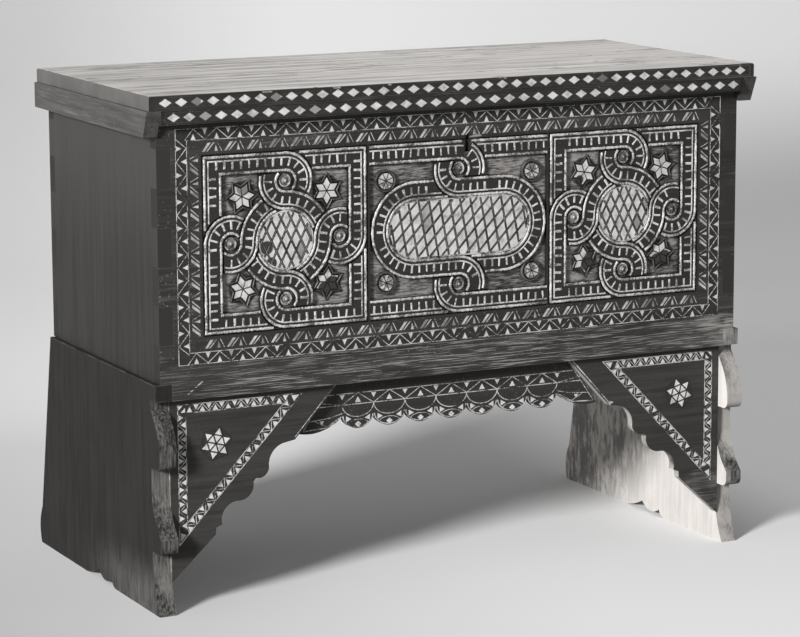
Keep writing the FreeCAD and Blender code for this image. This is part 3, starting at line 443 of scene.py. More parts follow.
finishes = (
    (woodFinish("front timber", frontSettings), ("front_board",)),
    (woodFinish("side timber", sideSettings), ("left_side_board", "right_side_board")),
    (woodFinish("back timber", backSettings), ("back_board", "stand_back_rail")),
    (woodFinish("bare wood", bareSettings), ("bottom_board", "left_lid_batten", "right_lid_batten")),
    (woodFinish("front rim timber", rimSettings), ("front_rim_rail",)),
    (woodFinish("side rim timber", sideRimSettings), ("left_rim_rail", "right_rim_rail")),
    (lidFinish("lid timber", lidSettings), ("lid_board",)),
    (endBoardFinish("left end timber", leftEnd), ("left_end_board",)),
    (endBoardFinish("right end timber", rightEnd), ("right_end_board",)),
    (woodFinish("rail timber", railSettings), ("stand_front_rail",)),
    (woodFinish("bracket timber", bracketSettings), ("left_bracket", "right_bracket")),
    (woodFinish("apron timber", apronSettings), ("scalloped_apron",)),
    (pearlFinish("pearl shell", pearl), ("border_triangles",)),
    (shell("stars", marks=starMarks, greyed=0.0, rim=1.2), ("panel_star_rhombs",)),
    (shell("left roundel", marks=roundelMarks, rim=1.0, cells=leftCells), ("left_roundel_lozenges",)),
    (shell("right roundel", rim=1.0, cells=rightCells), ("right_roundel_lozenges",)),
    (pearlMiddle, ("medallion_lozenges",)),
    (shell("rosettes", low=178, high=240, grey=48, greyed=0.3, rim=2.4, cells=((0, front["middle"]), (6, 0), (0, 6))),
     ("rosette_petals",)),
    (pearlBracket, ("left_bracket_triangles", "right_bracket_triangles")),
    (shell("lid row", marks=lidMarks, greyed=0.0, rim=2.2, cells=((-572.5, lidRow["z"]), (29.36, 0), (0, 40))),
     ("lid_lozenges",)),
    (shell("rim row", marks=rimMarks, greyed=0.0, rim=2.2, cells=((-551.5, rimRow["z"]), (29.03, 0), (0, 40))),
     ("rim_lozenges",)),
)
nodeFinish = {node: finish for finish, nodes in finishes for node in nodes}
for name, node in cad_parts.items():
    node.data.materials.clear()
    node.data.materials.append(nodeFinish.get(name, iron))  # the rest are hinge leaves and nails
print("finishes on", len(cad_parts), "nodes")


def areaOf(outline):  # below 0 for an outline that runs clockwise
    return sum(a[0] * b[1] - b[0] * a[1] for a, b in zip(outline, outline[1:] + outline[:1])) / 2


def placed(name, data):
    made = bpy.data.objects.new(name, data)
    bpy.context.scene.collection.objects.link(made)
    return made


def moved(path, x, z):
    return [(point[0] + x, point[1] + z) for point in path]


def onFront(path, x=0.0, z=0.0):  # from the middle of the panels
    return moved(path, x, front["middle"] + z)


def turned(point, degrees):
    sine, cosine = math.sin(math.radians(degrees)), math.cos(math.radians(degrees))
    return (point[0] * cosine - point[1] * sine, point[0] * sine + point[1] * cosine)


def arcPath(centre, radius, start, end, steps):
    angles = [math.radians(start + (end - start) * index / steps) for index in range(steps + 1)]
    return [(centre[0] + radius * math.cos(angle), centre[1] + radius * math.sin(angle)) for angle in angles]


# sections are (across, rise) pairs from left to right of a path, rise towards the viewer
def flatSection(half, sink, top):
    return ((-half, -sink), (-half, top), (half, top), (half, -sink))


def ridgeSection(half, sink, shoulder, crest, crown=0.4):
    return ((-half, -sink), (-half, shoulder), (-half * crown, crest), (half * crown, crest), (half, shoulder),
            (half, -sink))


class Pile:  # gathers one piece on a face of the chest; outlines and paths are (x, z) in millimetres
    def __init__(self, face):
        self.face, self.points, self.faces = face, [], []

    def ring(self, outline, y):
        self.points += [(x * mm, y * mm, z * mm) for x, z in outline]

    def cap(self, first, count, sense):  # one face over a ring, outwards for 1
        self.faces.append([first + index for index in range(count)][::sense])

    def walls(self, low, high, count):  # faces between two rings
        for index in range(count):
            after = (index + 1) % count
            self.faces.append([low + index, low + after, high + after, high + index])

    def prism(self, outline, sink, rise, chamfer=0.0):
        if areaOf(outline) < 0:
            outline = outline[::-1]
        first, count, top = len(self.points), len(outline), self.face - rise
        middle = [sum(point[axis] for point in outline) / count for axis in (0, 1)]
        share = 1 - chamfer / max(math.dist(point, middle) for point in outline)
        self.ring(outline, self.face + sink)
        self.ring(outline, top + chamfer)
        if chamfer:
            self.ring([[m + (value - m) * share for value, m in zip(point, middle)] for point in outline], top)
        last = len(self.points) - count
        self.cap(first, count, -1)
        for low in range(first, last, count):
            self.walls(low, low + count, count)
        self.cap(last, count, 1)

    def strip(self, path, section, closed=False, swell=None, deeper=0.0):
        count, wide, first, y = len(path), len(section), len(self.points), self.face + deeper
        for index, point in enumerate(path):
            before = path[index - 1] if index or closed else None
            after = path[(index + 1) % count] if index < count - 1 or closed else None
            heads = []
            for start, end in ((before, point), (point, after)):
                if start is not None and end is not None:
                    length = math.dist(start, end) or 1.0
                    heads.append(((end[0] - start[0]) / length, (end[1] - start[1]) / length))
            along = [sum(head[axis] for head in heads) for axis in (0, 1)]
            length = math.hypot(*along) or 1.0
            along = [value / length for value in along]
            stretch = 1 / max(0.4, along[0] * heads[0][0] + along[1] * heads[0][1])
            left = (-along[1] * stretch, along[0] * stretch)
            size = swell[index] if swell else 1.0
            for across, rise in section:
                across, rise = across * size, rise * size if rise > 0 else rise
                self.ring([(point[0] - left[0] * across, point[1] - left[1] * across)], y - rise)
        for index in range(count if closed else count - 1):
            self.walls(first + index * wide, first + ((index + 1) % count) * wide, wide)
        if not closed:
            self.cap(first, wide, -1)
            self.cap(first + (count - 1) * wide, wide, 1)

    def wire(self, path, width, rise, sink=0.8, closed=False, deeper=0.0):
        self.strip(path, ridgeSection(width / 2, sink, rise * 0.6, rise), closed, deeper=deeper)

    def lathe(self, centre, profile, steps=24):  # (radius, y) pairs from the rim inwards; the last is the middle
        first = len(self.points)
        for radius, y in profile[:-1]:
            self.ring(arcPath(centre, radius, 0, 360, steps)[:-1], y)
        tip = len(self.points)
        self.ring([centre], profile[-1][1])
        self.cap(first, steps, -1)
        for low in range(first, tip - steps, steps):
            self.walls(low, low + steps, steps)
        for index in range(steps):
            self.faces.append([tip - steps + index, tip - steps + (index + 1) % steps, tip])

    def piece(self, name, body, slot, material):
        mesh = bpy.data.meshes.new(name)
        mesh.from_pydata(self.points, [], self.faces)
        mesh.validate()
        mesh.materials.append(material)
        made = placed(name, mesh)
        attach(made, body)


strap = {"half": 17.5, "gap": 2.5, "bead": 14.6, "beadWidth": 4.8, "beadRise": 1.8, "beadShoulder": 0.5,
         "beadSink": 0.8, "beadCrown": 0.45, "beadWander": 0.35, "beadSwell": (0.72, 1.08), "spine": 7.4,
         "spineWidth": 2.6, "tooth": (-7.0, 7.0), "toothWidth": 3.8, "toothRise": 1.0, "toothSink": 0.6,
         "toothWander": 0.9, "toothSwell": (0.75, 1.2), "toothLost": 0.04, "pitch": 15.0,
         "cornerGap": (7.0, 12.0), "step": 3.0}
keySlot = {"place": (15.0, 152.0), "half": (6.5, 21.0)}


# the straps' lines: each part is a length and a point for a share of it and a side step
def lineParts(kind):
    strapLine, ringLine, eyePlace, eye = (front[key] for key in ("strapLine", "ringLine", "eyePlace", "eye"))

    def eyeTurn(share, side):
        angle = math.radians(90 - 180 * share)
        return ((eye + side) * math.cos(angle), eyePlace + (eye + side) * math.sin(angle))

    def corner(share, side):
        return ((-strapLine - side) * (1 - share), strapLine + side)

    def quarter(share, side):
        angle = math.radians(90 + 90 * share)
        return ((ringLine - side) * math.cos(angle), (ringLine - side) * math.sin(angle))

    def flipped(part):
        return lambda share, side: tuple(-value for value in reversed(part(1 - share, side)))

    def mirrored(part):
        return lambda share, side: (part(1 - share, side)[0], -part(1 - share, side)[1])

    def entry(share, side):
        return (-front["middleHalf"] * (1 - share), strapLine + side)

    def upper(share, side):
        return (-front["ringStraight"] * share, ringLine - side)

    def bend(share, side):
        angle = math.radians(90 + 180 * share)
        return (-front["ringStraight"] + (ringLine - side) * math.cos(angle), (ringLine - side) * math.sin(angle))

    if kind == "corner":
        half = [(strapLine, corner), (math.pi * eye, eyeTurn)]
        return half + [(math.pi / 2 * ringLine, quarter)] + [(length, flipped(part)) for length, part in half[::-1]]
    half = [(front["middleHalf"], entry), (math.pi * eye, eyeTurn), (front["ringStraight"], upper)]
    return half + [(math.pi * ringLine, bend)] + [(length, mirrored(part)) for length, part in half[::-1]]


def offsetLine(parts, side):
    path = []
    for length, part in parts:
        steps = max(2, round(length / strap["step"]))
        path += [part(index / steps, side) for index in range(steps)]
    return path + [parts[-1][1](1.0, side)]


def distance(point, path):
    best = 1e9
    for start, end in zip(path, path[1:]):
        run = (end[0] - start[0], end[1] - start[1])
        off = (point[0] - start[0], point[1] - start[1])
        share = (off[0] * run[0] + off[1] * run[1]) / (run[0] ** 2 + run[1] ** 2 or 1e-9)
        share = max(0.0, min(1.0, share))
        best = min(best, math.hypot(off[0] - share * run[0], off[1] - share * run[1]))
    return best


# tells the points of a strap that aren't hidden under the strap that crosses it or cut by the key slot
def shownTest(centre, turn, slot):
    other = [turned(point, turn) for point in centre]
    clear, eyePlace, eyeReach = strap["half"] + strap["gap"], front["eyePlace"], front["eyeReach"]

    def shown(point):
        if slot and all(abs(point[axis] - slot[axis]) < keySlot["half"][axis] for axis in (0, 1)):
            return False
        if 0 <= point[1] <= eyePlace and abs(point[0]) < eyeReach and distance(point, other) < clear:
            return False
        back = turned(point, turn)
        return not (back[1] > eyePlace and abs(back[0]) < eyeReach and distance(back, centre) < clear)

    return shown


def strapLines(kind, turn, slot=None):
    parts = lineParts(kind)
    shown = shownTest(offsetLine(parts, 0.0), turn, slot)
    runs = {"bead": [], "spine": [], "tooth": []}
    for name, side in (("bead", strap["bead"]), ("bead", -strap["bead"]), ("spine", strap["spine"])):
        path = offsetLine(parts, side)
        flags = [shown(point) for point in path]
        if kind == "corner":  # a closed round: start it at a hidden point
            first = flags.index(False)
            path, flags = path[first:-1] + path[:first], flags[first:-1] + flags[:first]
        run = []
        for point, flag in zip(path + [None], flags + [False]):
            if flag:
                run.append(point)
            else:
                if len(run) > 1:
                    runs[name].append(run)
                run = []
    for length, part in parts:
        count = max(1, round(length / strap["pitch"]))
        for index in range(count):
            share = (index + 0.5) / count
            ends = [part(share, side) for side in strap["tooth"]]
            if length == front["strapLine"]:  # on the panels' straight sides the teeth stand square
                axis = 0 if part(0.5, 0.0)[1] == length else 1
                middle = part(share, 0.0)[axis]
                ends = [(middle, end[1]) if axis == 0 else (end[0], middle) for end in ends]
                if abs(middle) > length - strap["cornerGap"][axis]:
                    continue
            if all(shown(point) for point in ends + [part(share, 0.0)]):
                runs["tooth"].append(ends)
    return runs


hand = random.Random(11)  # the carver's unevenness


def uneven(path, wander):
    return [tuple(value + hand.uniform(-wander, wander) for value in point) for point in path]


beads, ladders = Pile(front["face"]), Pile(front["face"])
cornerRuns = strapLines("corner", -90)
placements = [(cornerRuns, angle, side * front["sidePanel"]) for side in (-1, 1) for angle in (0, -90, -180, -270)]
placements += [(strapLines("middle", 180, turned(keySlot["place"], angle)), angle, 0.0) for angle in (0, 180)]
beadSection = ridgeSection(strap["beadWidth"] / 2, strap["beadSink"], strap["beadShoulder"], strap["beadRise"],
                           strap["beadCrown"])
for runs, angle, x in placements:
    def laid(path):
        return onFront([turned(point, angle) for point in path], x)

    for run in runs["bead"]:
        path = uneven(run, strap["beadWander"])
        beads.strip(laid(path), beadSection, swell=[hand.uniform(*strap["beadSwell"]) for _ in run])
    for run in runs["spine"]:
        ladders.wire(laid(run), strap["spineWidth"], strap["toothRise"], strap["toothSink"])
    for run in runs["tooth"]:
        if hand.random() < strap["toothLost"]:
            continue
        path = uneven(run, strap["toothWander"])
        width = strap["toothWidth"] * hand.uniform(*strap["toothSwell"])
        ladders.wire(laid(path), width, strap["toothRise"], strap["toothSink"])
beads.piece("strap_beads", "box", "carcass_wood", ridgeTone)
ladders.piece("strap_ladders", "box", "carcass_wood", ladderTone)
print("straps dressed:", len(beads.faces), "bead faces,", len(ladders.faces), "ladder faces")

boss = {"profile": ((12.0, -276.0), (12.0, -278.6), (10.8, -279.6), (9.0, -279.2), (8.0, -278.0), (5.6, -278.2),
                    (4.8, -279.6), (3.2, -280.6), (0.0, -281.0)),
        "dot": ((2.4, -280.0), (2.4, -281.2), (1.4, -282.0), (0.0, -282.2)),
        "ring": 10.2, "ringWidth": 2.2, "ringFace": -279.4, "ringRise": 0.8, "ringTurn": 250}
rosetteRim = {"places": ((-145, 90), (145, 90), (-145, -90), (145, -90)), "radius": 18.2, "width": 4.0,
              "sink": 0.3, "shoulder": 4.6, "crest": 6.6}

bosses, rings, rims = Pile(front["ground"]), Pile(boss["ringFace"]), Pile(front["ground"])
bossPlaces = [(0, front["middle"] + sign * front["eyePlace"]) for sign in (-1, 1)]
for side in (-1, 1):
    eyes = [turned((0, front["eyePlace"]), angle) for angle in (0, 90, 180, 270)]
    bossPlaces += onFront(eyes, side * front["sidePanel"])
for place in bossPlaces:
    bosses.lathe(place, boss["profile"])
    rings.lathe(place, boss["dot"])
    start = hand.uniform(0, 360)
    rings.wire(arcPath(place, boss["ring"], start, start + boss["ringTurn"], 20), boss["ringWidth"], boss["ringRise"])
bosses.piece("eye_bosses", "box", "carcass_wood", bossTone)
rings.piece("eye_rings", "box", "carcass_wood", ridgeTone)
rimSection = ridgeSection(rosetteRim["width"] / 2, rosetteRim["sink"], rosetteRim["shoulder"], rosetteRim["crest"])
for x, z in rosetteRim["places"]:
    rims.strip(arcPath((x, front["middle"] + z), rosetteRim["radius"], 0, 360, 32)[:-1], rimSection, True)
reach, sink, shoulder = starFrame["width"] / 2, starFrame["sink"], starFrame["shoulder"]
starSection = ((-reach, -sink), (-reach, shoulder), (0, starFrame["rise"]), (reach, shoulder), (reach, -sink))
for side, turns in starFrame["turns"].items():
    for (x, z), degrees in zip(starFrame["places"], turns):
        radii = [starFrame["outer"], starFrame["inner"]] * 6
        star = [turned((radius, 0), degrees + 30 * index) for index, radius in enumerate(radii)]
        rims.strip(onFront(star, side * front["sidePanel"] + x, z), starSection, True)
# the rims take the ridge tone darkened as painted shade
rims.piece("rosette_and_star_rims", "box", "carcass_wood", shadedRidge)
print("bosses and rims set")


def rowFrame(start, end, trim=0.0):  # a row's length, and a point for a run along it and a step across
    length = math.dist(start, end)
    along = ((end[0] - start[0]) / length, (end[1] - start[1]) / length)

    def at(run, across):
        run += trim
        return (start[0] + along[0] * run - along[1] * across, start[1] + along[1] * run + along[0] * across)

    return length - 2 * trim, at


def zigzag(length, at, pitch, peak, past=0.0):  # turns twice in each unit and runs past the row's ends
    count = round(length / pitch)
    step = length / count
    turns = [at(step * (2 * index + 1) / 4, -peak if index % 2 else peak) for index in range(2 * count)]
    return [at(-step * past, -peak)] + turns + [at(length + step * past, peak)]


# the front's borders: mastic, tin lines and zigzag in the outer one, pearl bars and tin in the inner one
borders = {"wire": 1.2, "inset": 1.4, "zigzag": 1.3, "rise": 0.3, "fill": 0.35, "bed": 1.2, "gap": 0.15,
           "pitch": 43.0, "margin": 2.2, "past": 0.1, "barPitch": 41.0, "barBed": 0.5, "barChamfer": 0.25,
           "barWire": ((32.5, 7.5), (40, -7.5)),
           "bars": ((((3, -7.5), (8.5, -7.5), (20, 7.5), (14, 7.5)), 0.35),
                    (((11, -7.5), (13.6, -7.5), (27, 7.5), (24, 7.5)), 0.35),
                    (((26.5, -7.5), (33, -7.5), (29, 4.5)), 0.2))}
fill, tinLines, bars = (Pile(front["face"]) for _ in range(3))
wide, high = front["frame"]
border, row = front["border"], front["border"] / 2


def rectangle(inset):
    x, z = wide - inset, high - inset
    return onFront([(-x, -z), (x, -z), (x, z), (-x, z)])


fill.strip(rectangle(row), flatSection(row - borders["gap"], borders["bed"], -borders["fill"]), True)
for inset in (borders["inset"], border - borders["inset"]):
    tinLines.wire(rectangle(inset), borders["wire"], borders["rise"], closed=True)
sides = [[(border - wide, z), (wide - border, z)] for z in (high - row, row - high)]
sides += [[(x, border - high), (x, high - border)] for x in (row - wide, wide - row)]
for side in sides:
    path = zigzag(*rowFrame(*onFront(side)), borders["pitch"], row - borders["margin"], borders["past"])
    tinLines.wire(path, borders["zigzag"], borders["rise"])
for side in sides:
    inner = [tuple(value - math.copysign(border, value) for value in point) for point in side]
    length, at = rowFrame(*onFront(inner))
    count = round(length / borders["barPitch"])
    for index in range(count):
        run = index * (length / count)
        for outline, proud in borders["bars"]:
            outline = [at(run + along, across) for along, across in outline]
            bars.prism(outline, borders["barBed"], proud, borders["barChamfer"])
        line = [at(run + along, across) for along, across in borders["barWire"]]
        tinLines.wire(line, borders["wire"], borders["rise"])
fill.piece("border_mastic", "box", "carcass_wood", mastic)
bars.piece("inner_border_bars", "box", "mother_of_pearl", pearlBars)
print("borders laid")

# mosaics: mastic beds, a tin ring, ribs with tin joints between the lozenges, and slivers along the rim
mosaic = {"bedInset": 0.1, "bed": 1.2, "fill": 0.4, "inset": 2.5, "rib": (4.2, 0.15, 0.6), "joint": (0.9, 0.4, 0.3),
          "lines": 40, "reach": 300, "shortest": 6, "ring": (2.2, 0.5), "ringInset": 1.2, "ringDepth": 0.2,
          "rows": 16, "sliverInset": 2.6, "sliverShare": 0.84, "sliverArea": 14.0, "sliver": (0.5, 0.1), "whole": 1.5}
beds, ribs, joints, slivers = (Pile(front["face"]) for _ in range(4))


def stadium(straight, inset, steps=16):
    right = arcPath((straight, 0), front["disc"] - inset, -90, 90, steps)
    return right + arcPath((-straight, 0), front["disc"] - inset, 90, 270, steps)


def jointLines(x, straight, cells):
    radius, reach = front["disc"] - mosaic["inset"], mosaic["reach"]
    for along, across in (cells, cells[::-1]):
        length = math.hypot(*along)
        way = (along[0] / length, along[1] / length)
        for index in range(-mosaic["lines"], mosaic["lines"] + 1):
            origin = (across[0] * (index + 0.5), across[1] * (index + 0.5))
            line = [(origin[0] + way[0] * run, origin[1] + way[1] * run) for run in range(-reach, reach + 1)]
            line = [point for point in line if math.hypot(max(0.0, abs(point[0]) - straight), point[1]) < radius]
            if len(line) > mosaic["shortest"]:
                ends = onFront([line[0], line[-1]], x)
                ribs.wire(ends, *mosaic["rib"])
                joints.wire(ends, *mosaic["joint"])


def within(outline, rim):  # the share of an outline that lies inside a rim
    for start, end in zip(rim, rim[1:] + rim[:1]):
        kept = []
        for first, second in zip(outline, outline[1:] + outline[:1]):
            here, there = [(end[0] - start[0]) * (point[1] - start[1]) - (end[1] - start[1]) * (point[0] - start[0])
                           for point in (first, second)]
            if here >= 0:
                kept.append(first)
            if here * there < 0:
                share = here / (here - there)
                kept.append(tuple(a + (b - a) * share for a, b in zip(first, second)))
        outline = kept
    return outline


def rimSlivers(x, straight, cells):  # small cut tiles along the rim, between the whole ones
    along, across = cells
    rim = stadium(straight, mosaic["sliverInset"])
    limit, rows = front["disc"] - mosaic["whole"], range(-mosaic["rows"], mosaic["rows"] + 1)
    for row, column in ((row, column) for row in rows for column in rows):
        middle = [row * along[axis] + column * across[axis] for axis in (0, 1)]
        corners = [tuple(middle[axis] + (a * along[axis] + b * across[axis]) * mosaic["sliverShare"] / 2
                         for axis in (0, 1)) for a, b in ((-1, -1), (-1, 1), (1, 1), (1, -1))]
        cut = within(corners, rim)
        area = abs(areaOf(cut))
        outside = abs(middle[0]) > straight + limit or abs(middle[1]) > limit
        if len(cut) > 2 and area > mosaic["sliverArea"] and (outside or area < abs(areaOf(corners)) / 4):
            slivers.prism(onFront(cut, x), *mosaic["sliver"])


for x, straight, cells in ((-front["sidePanel"], 0.0, roundelCells), (front["sidePanel"], 0.0, roundelCells),
                           (0.0, front["ringStraight"], medallionCells)):
    beds.prism(onFront(stadium(straight, mosaic["bedInset"]), x), mosaic["bed"], -mosaic["fill"])
    jointLines(x, straight, cells)
    rimSlivers(x, straight, cells)
    ring = onFront(stadium(straight, mosaic["ringInset"]), x)
    tinLines.wire(ring, *mosaic["ring"], closed=True, deeper=mosaic["ringDepth"])
beds.piece("mosaic_mastic", "box", "carcass_wood", mastic)
ribs.piece("mosaic_ribs", "box", "carcass_wood", mastic)
joints.piece("mosaic_tin_joints", "box", "carcass_wood", dullTin)
slivers.piece("mosaic_slivers", "box", "mother_of_pearl", pearlMiddle)
tinLines.piece("front_tin_lines", "box", "iron", tinWire)
print("mosaics jointed:", len(tinLines.faces), "tin faces")

# the rows of lozenges on the lid and the rim lie in a black filled groove
groove = {"face": -307.0, "fill": 0.35, "bed": 1.2, "half": 8.4, "gap": 0.1, "steps": 60}
for name, body, line in (("lid_groove_mastic", "lid", lidRow), ("rim_groove_mastic", "box", rimRow)):
    reach, z, steps = line["reach"], line["z"], groove["steps"]
    path = [(-reach + groove["gap"] + 2 * reach * index / steps, z) for index in range(steps)]
    path.append((reach - groove["gap"], z))
    band = Pile(groove["face"])
    band.strip(path, flatSection(groove["half"], groove["bed"], -groove["fill"]))
    band.piece(name, body, "carcass_wood", mastic)

# the brackets: mastic, tin edges and zigzag round the border, tiles in its corners, mastic joints in the star
bracket = {"face": -269.0, "corner": (552.0, 376.0), "start": (14.0, 10.0), "field": (238.0, 250.0), "border": 17.0,
           "bed": 1.2, "fill": 0.35, "gap": 0.1, "wire": (1.5, 0.35), "wireInset": 1.0, "pitch": 25.0,
           "zigzag": (1.2, 0.3), "margin": 2.0, "star": 30.0, "starShare": 0.3, "starBed": 1.5,
           "starJoint": (2.6, 0.4), "deeper": 0.2, "lean": 15.0, "tile": (0.6, 0.2, 0.2), "tileInset": 2.4,
           "tileGap": 4.4, "tipInset": 3.4, "tipSide": 15.0, "edge": ((313.7, 2.4), (234.8, 88.8)),
           "edgeWire": {-1: (1.2, 0.5), 1: (2.2, 0.5)}, "chip": (0.6, 0.5, 0.3),
           "chipShape": ((-6.0, 5.0), (1.0, 3.0), (9.0, 1.0), (4.0, -3.0), (1.5, -5.5), (-2.0, -1.5))}
bracketFill, bracketTin, cornerTiles = (Pile(bracket["face"]) for _ in range(3))


def bracketPoint(sign, u, w):
    return (sign * (bracket["corner"][0] - u), bracket["corner"][1] - w)


def fieldCorners(sign, inset):
    width, drop = bracket["field"]
    slant = math.hypot(width, drop)
    left = 1 - inset * (width + drop + slant) / (width * drop)
    u, w = (start + inset for start in bracket["start"])
    return [bracketPoint(sign, u, w), bracketPoint(sign, u + width * left, w), bracketPoint(sign, u, w + drop * left)]


for sign in (-1, 1):
    def bothSides(inset):  # the border's outer and inner edge
        return fieldCorners(sign, inset), fieldCorners(sign, bracket["border"] - inset)

    outer, inner = bothSides(bracket["gap"])
    for index in range(3):
        after = (index + 1) % 3
        bracketFill.prism([outer[index], outer[after], inner[after], inner[index]], bracket["bed"], -bracket["fill"])
    for corners in bothSides(bracket["wireInset"]):
        bracketTin.wire(corners, *bracket["wire"], closed=True)
    row = bracket["border"] / 2
    middle = fieldCorners(sign, row)
    for start, end in zip(middle, middle[1:] + middle[:1]):
        path = zigzag(*rowFrame(start, end, row), bracket["pitch"], row - bracket["margin"])
        bracketTin.wire(path, *bracket["zigzag"], deeper=bracket["deeper"])

    # two tiles in the square corner and one in each sharp one
    (px, pz), (qx, qz) = (corners[0] for corners in bothSides(bracket["tileInset"]))
    gap = bracket["tileGap"]
    across = math.copysign(gap, qx - px)
    tiles = [[(px, pz), (qx - across, pz), (px, qz + gap)], [(qx, qz), (qx, pz - gap), (px + across, qz)]]
    tips = [Vector(tip) for tip in fieldCorners(sign, bracket["tipInset"])]
    for tip in tips[1:]:
        arms = [tip + (other - tip).normalized() * bracket["tipSide"] for other in tips if other is not tip]
        tiles.append([tuple(point) for point in [tip] + arms])
    for tile in tiles:
        cornerTiles.prism(tile, *bracket["tile"])

    u, w = (begin + bracket["starShare"] * length for begin, length in zip(bracket["start"], bracket["field"]))
    centre = bracketPoint(sign, u, w)
    first = 90 + sign * bracket["lean"]
    points, hexagon = (moved([turned((radius, 0), first + 60 * index) for index in range(6)], *centre)
                       for radius in (bracket["star"], bracket["star"] + bracket["starBed"]))
    bracketFill.prism(hexagon, bracket["bed"], -bracket["fill"])
    lines = [[points[index], points[(index + 2) % 6]] for index in range(6)]
    small = bracket["star"] / math.sqrt(3)
    for index in range(3):
        lines.append(moved([turned((sense * small, 0), first + 30 + 60 * index) for sense in (-1, 1)], *centre))
    for line in lines:
        bracketFill.wire(line, *bracket["starJoint"], deeper=bracket["deeper"])
    free = [bracketPoint(sign, *place) for place in bracket["edge"]]
    bracketTin.wire(free, *bracket["edgeWire"][sign])
    if sign > 0:  # a pale chip at the end of the right bracket's edge
        bracketTin.prism(moved(bracket["chipShape"], *free[1]), *bracket["chip"])
bracketFill.piece("bracket_mastic", "box", "stand_wood", paleMastic)
bracketTin.piece("bracket_tin_lines", "box", "iron", tinWire)
cornerTiles.piece("bracket_corner_tiles", "box", "mother_of_pearl", pearlBracket)

# the apron: two tin lines with a zigzag, and three arcs in each scallop with small tiles between
apron = {"face": -251.0, "pitch": 62.0, "count": 7, "lines": (351.0, 331.0), "rise": 0.4, "wire": 1.6,
         "zigzag": 1.4, "rim": 2.0, "fine": 1.2, "top": (240.0, 376.0), "foot": (300.0, 287.0), "inset": 4,
         "arc": (331.0, 31.0, 23.0), "rimArc": (311.0, 29.5, 21.5), "bow": (294.0, 20.0, -9.0),
         "tile": (0.5, 0.4, 0.3), "upperTile": (345.5, 5.4), "lowerTile": (338.0, 6.0, -1), "wingPlace": 19,
         "wing": ((4.6, 310.5), (4.6, 299.5), (-6.0, 304.5)),
         "lozenge": ((-6.4, 294.5), (0.0, 300.0), (6.4, 294.5), (0.0, 289.0)), "endTile": (40, 303, 4.6),
         "endRim": ((2, 310), (14, 300), (32, 293)), "endLine": ((0, 316), (26, 310)),
         "endBow": ((6, 308), (30, 295), (52, 306)), "slant": (372, 291)}
apronTin, apronTiles = Pile(apron["face"]), Pile(apron["face"])
lastCusp = apron["count"] * apron["pitch"] / 2
upper, lower = apron["lines"]


def endX(z):  # the apron's slanted end at a height
    share = (apron["top"][1] - z) / (apron["top"][1] - apron["foot"][1])
    return apron["top"][0] + share * (apron["foot"][0] - apron["top"][0]) - apron["inset"]


def apronLine(path, width):
    apronTin.wire(path, apron[width], apron["rise"])


def apronTile(outline):
    apronTiles.prism(outline, *apron["tile"])


def wedge(x, z, half, sense=1):  # three corners, the point down for 1 and up for -1
    return [(x - half, z + sense * half * 0.7), (x + half, z + sense * half * 0.7), (x, z - sense * half)]


def hanging(middle, top, half, depth):  # a curve slung between two points of one height
    angles = [math.pi * step / 16 for step in range(17)]
    return [(middle - half * math.cos(angle), top - depth * math.sin(angle)) for angle in angles]


for z in apron["lines"]:
    apronLine([(-endX(z), z), (endX(z), z)], "wire")
path = [(-endX(lower), lower + 8)]
for index in range(apron["count"] + 1):
    cuspX = index * apron["pitch"] - lastCusp
    path.append((cuspX, lower))
    apronTile(wedge(cuspX, *apron["upperTile"]))
    if index < apron["count"]:
        middle = cuspX + apron["pitch"] / 2
        path.append((middle, upper))
        apronTile(wedge(middle, *apron["lowerTile"]))
        for arc, width in (("arc", "wire"), ("rimArc", "rim"), ("bow", "fine")):
            apronLine(hanging(middle, *apron[arc]), width)
        for sign in (-1, 1):
            x = middle + sign * apron["wingPlace"]
            apronTile([(x + sign * step, z) for step, z in apron["wing"]])
        apronTile(moved(apron["lozenge"], middle, 0.0))
apronLine(path + [(endX(lower), lower + 8)], "zigzag")
for sign in (-1, 1):
    def beyond(spots):  # points some steps past the last cusp
        return [(sign * lastCusp + sign * step, z) for step, z in spots]

    apronLine(beyond(apron["endRim"]) + [(sign * (endX(291) - 1), 291)], "rim")
    apronLine(beyond(apron["endLine"]) + [(sign * endX(309), 307)], "zigzag")
    apronLine(beyond(apron["endBow"]), "fine")
    apronLine([(sign * endX(z), z) for z in apron["slant"]], "zigzag")
    step, z, half = apron["endTile"]
    apronTile(wedge(sign * lastCusp + sign * step, z, half))
apronTin.piece("apron_tin_lines", "box", "iron", tinWire)
apronTiles.piece("apron_tiles", "box", "mother_of_pearl", pearlBracket)
print("brackets and apron inlaid")

# a plain pale sweep: floor, cove and wall in one sheet
stage = {"front": -9.0, "cove": 1.1, "radius": 0.7, "height": 5.0, "half": 9.0, "fade": (-1.3, 0.3),
         "wallFade": (-0.3, 0.8), "left": 0.44, "right": 0.88, "wallLeft": 0.62, "wallRight": 1.0, "unseen": 0.3,
         "corner": 0.45, "shadowGlow": 0.62}
outline = [(stage["front"], 0.0)]
for step in range(13):
    angle = math.radians(90 * step / 12)
    outline.append((stage["cove"] + stage["radius"] * math.sin(angle), stage["radius"] * (1 - math.cos(angle))))
outline.append((stage["cove"] + stage["radius"], stage["height"]))
sweepPoints = [(side * stage["half"], y, z) for y, z in outline for side in (-1, 1)]
sweepFaces = [(2 * index, 2 * index + 1, 2 * index + 3, 2 * index + 2) for index in range(len(outline) - 1)]
sweepMesh = bpy.data.meshes.new("studio_sweep")
sweepMesh.from_pydata(sweepPoints, [], sweepFaces)
for polygon in sweepMesh.polygons:
    polygon.use_smooth = True
sweep = placed("studio_sweep", sweepMesh)


def grey(key):
    return (stage[key], stage[key], stage[key], 1.0)


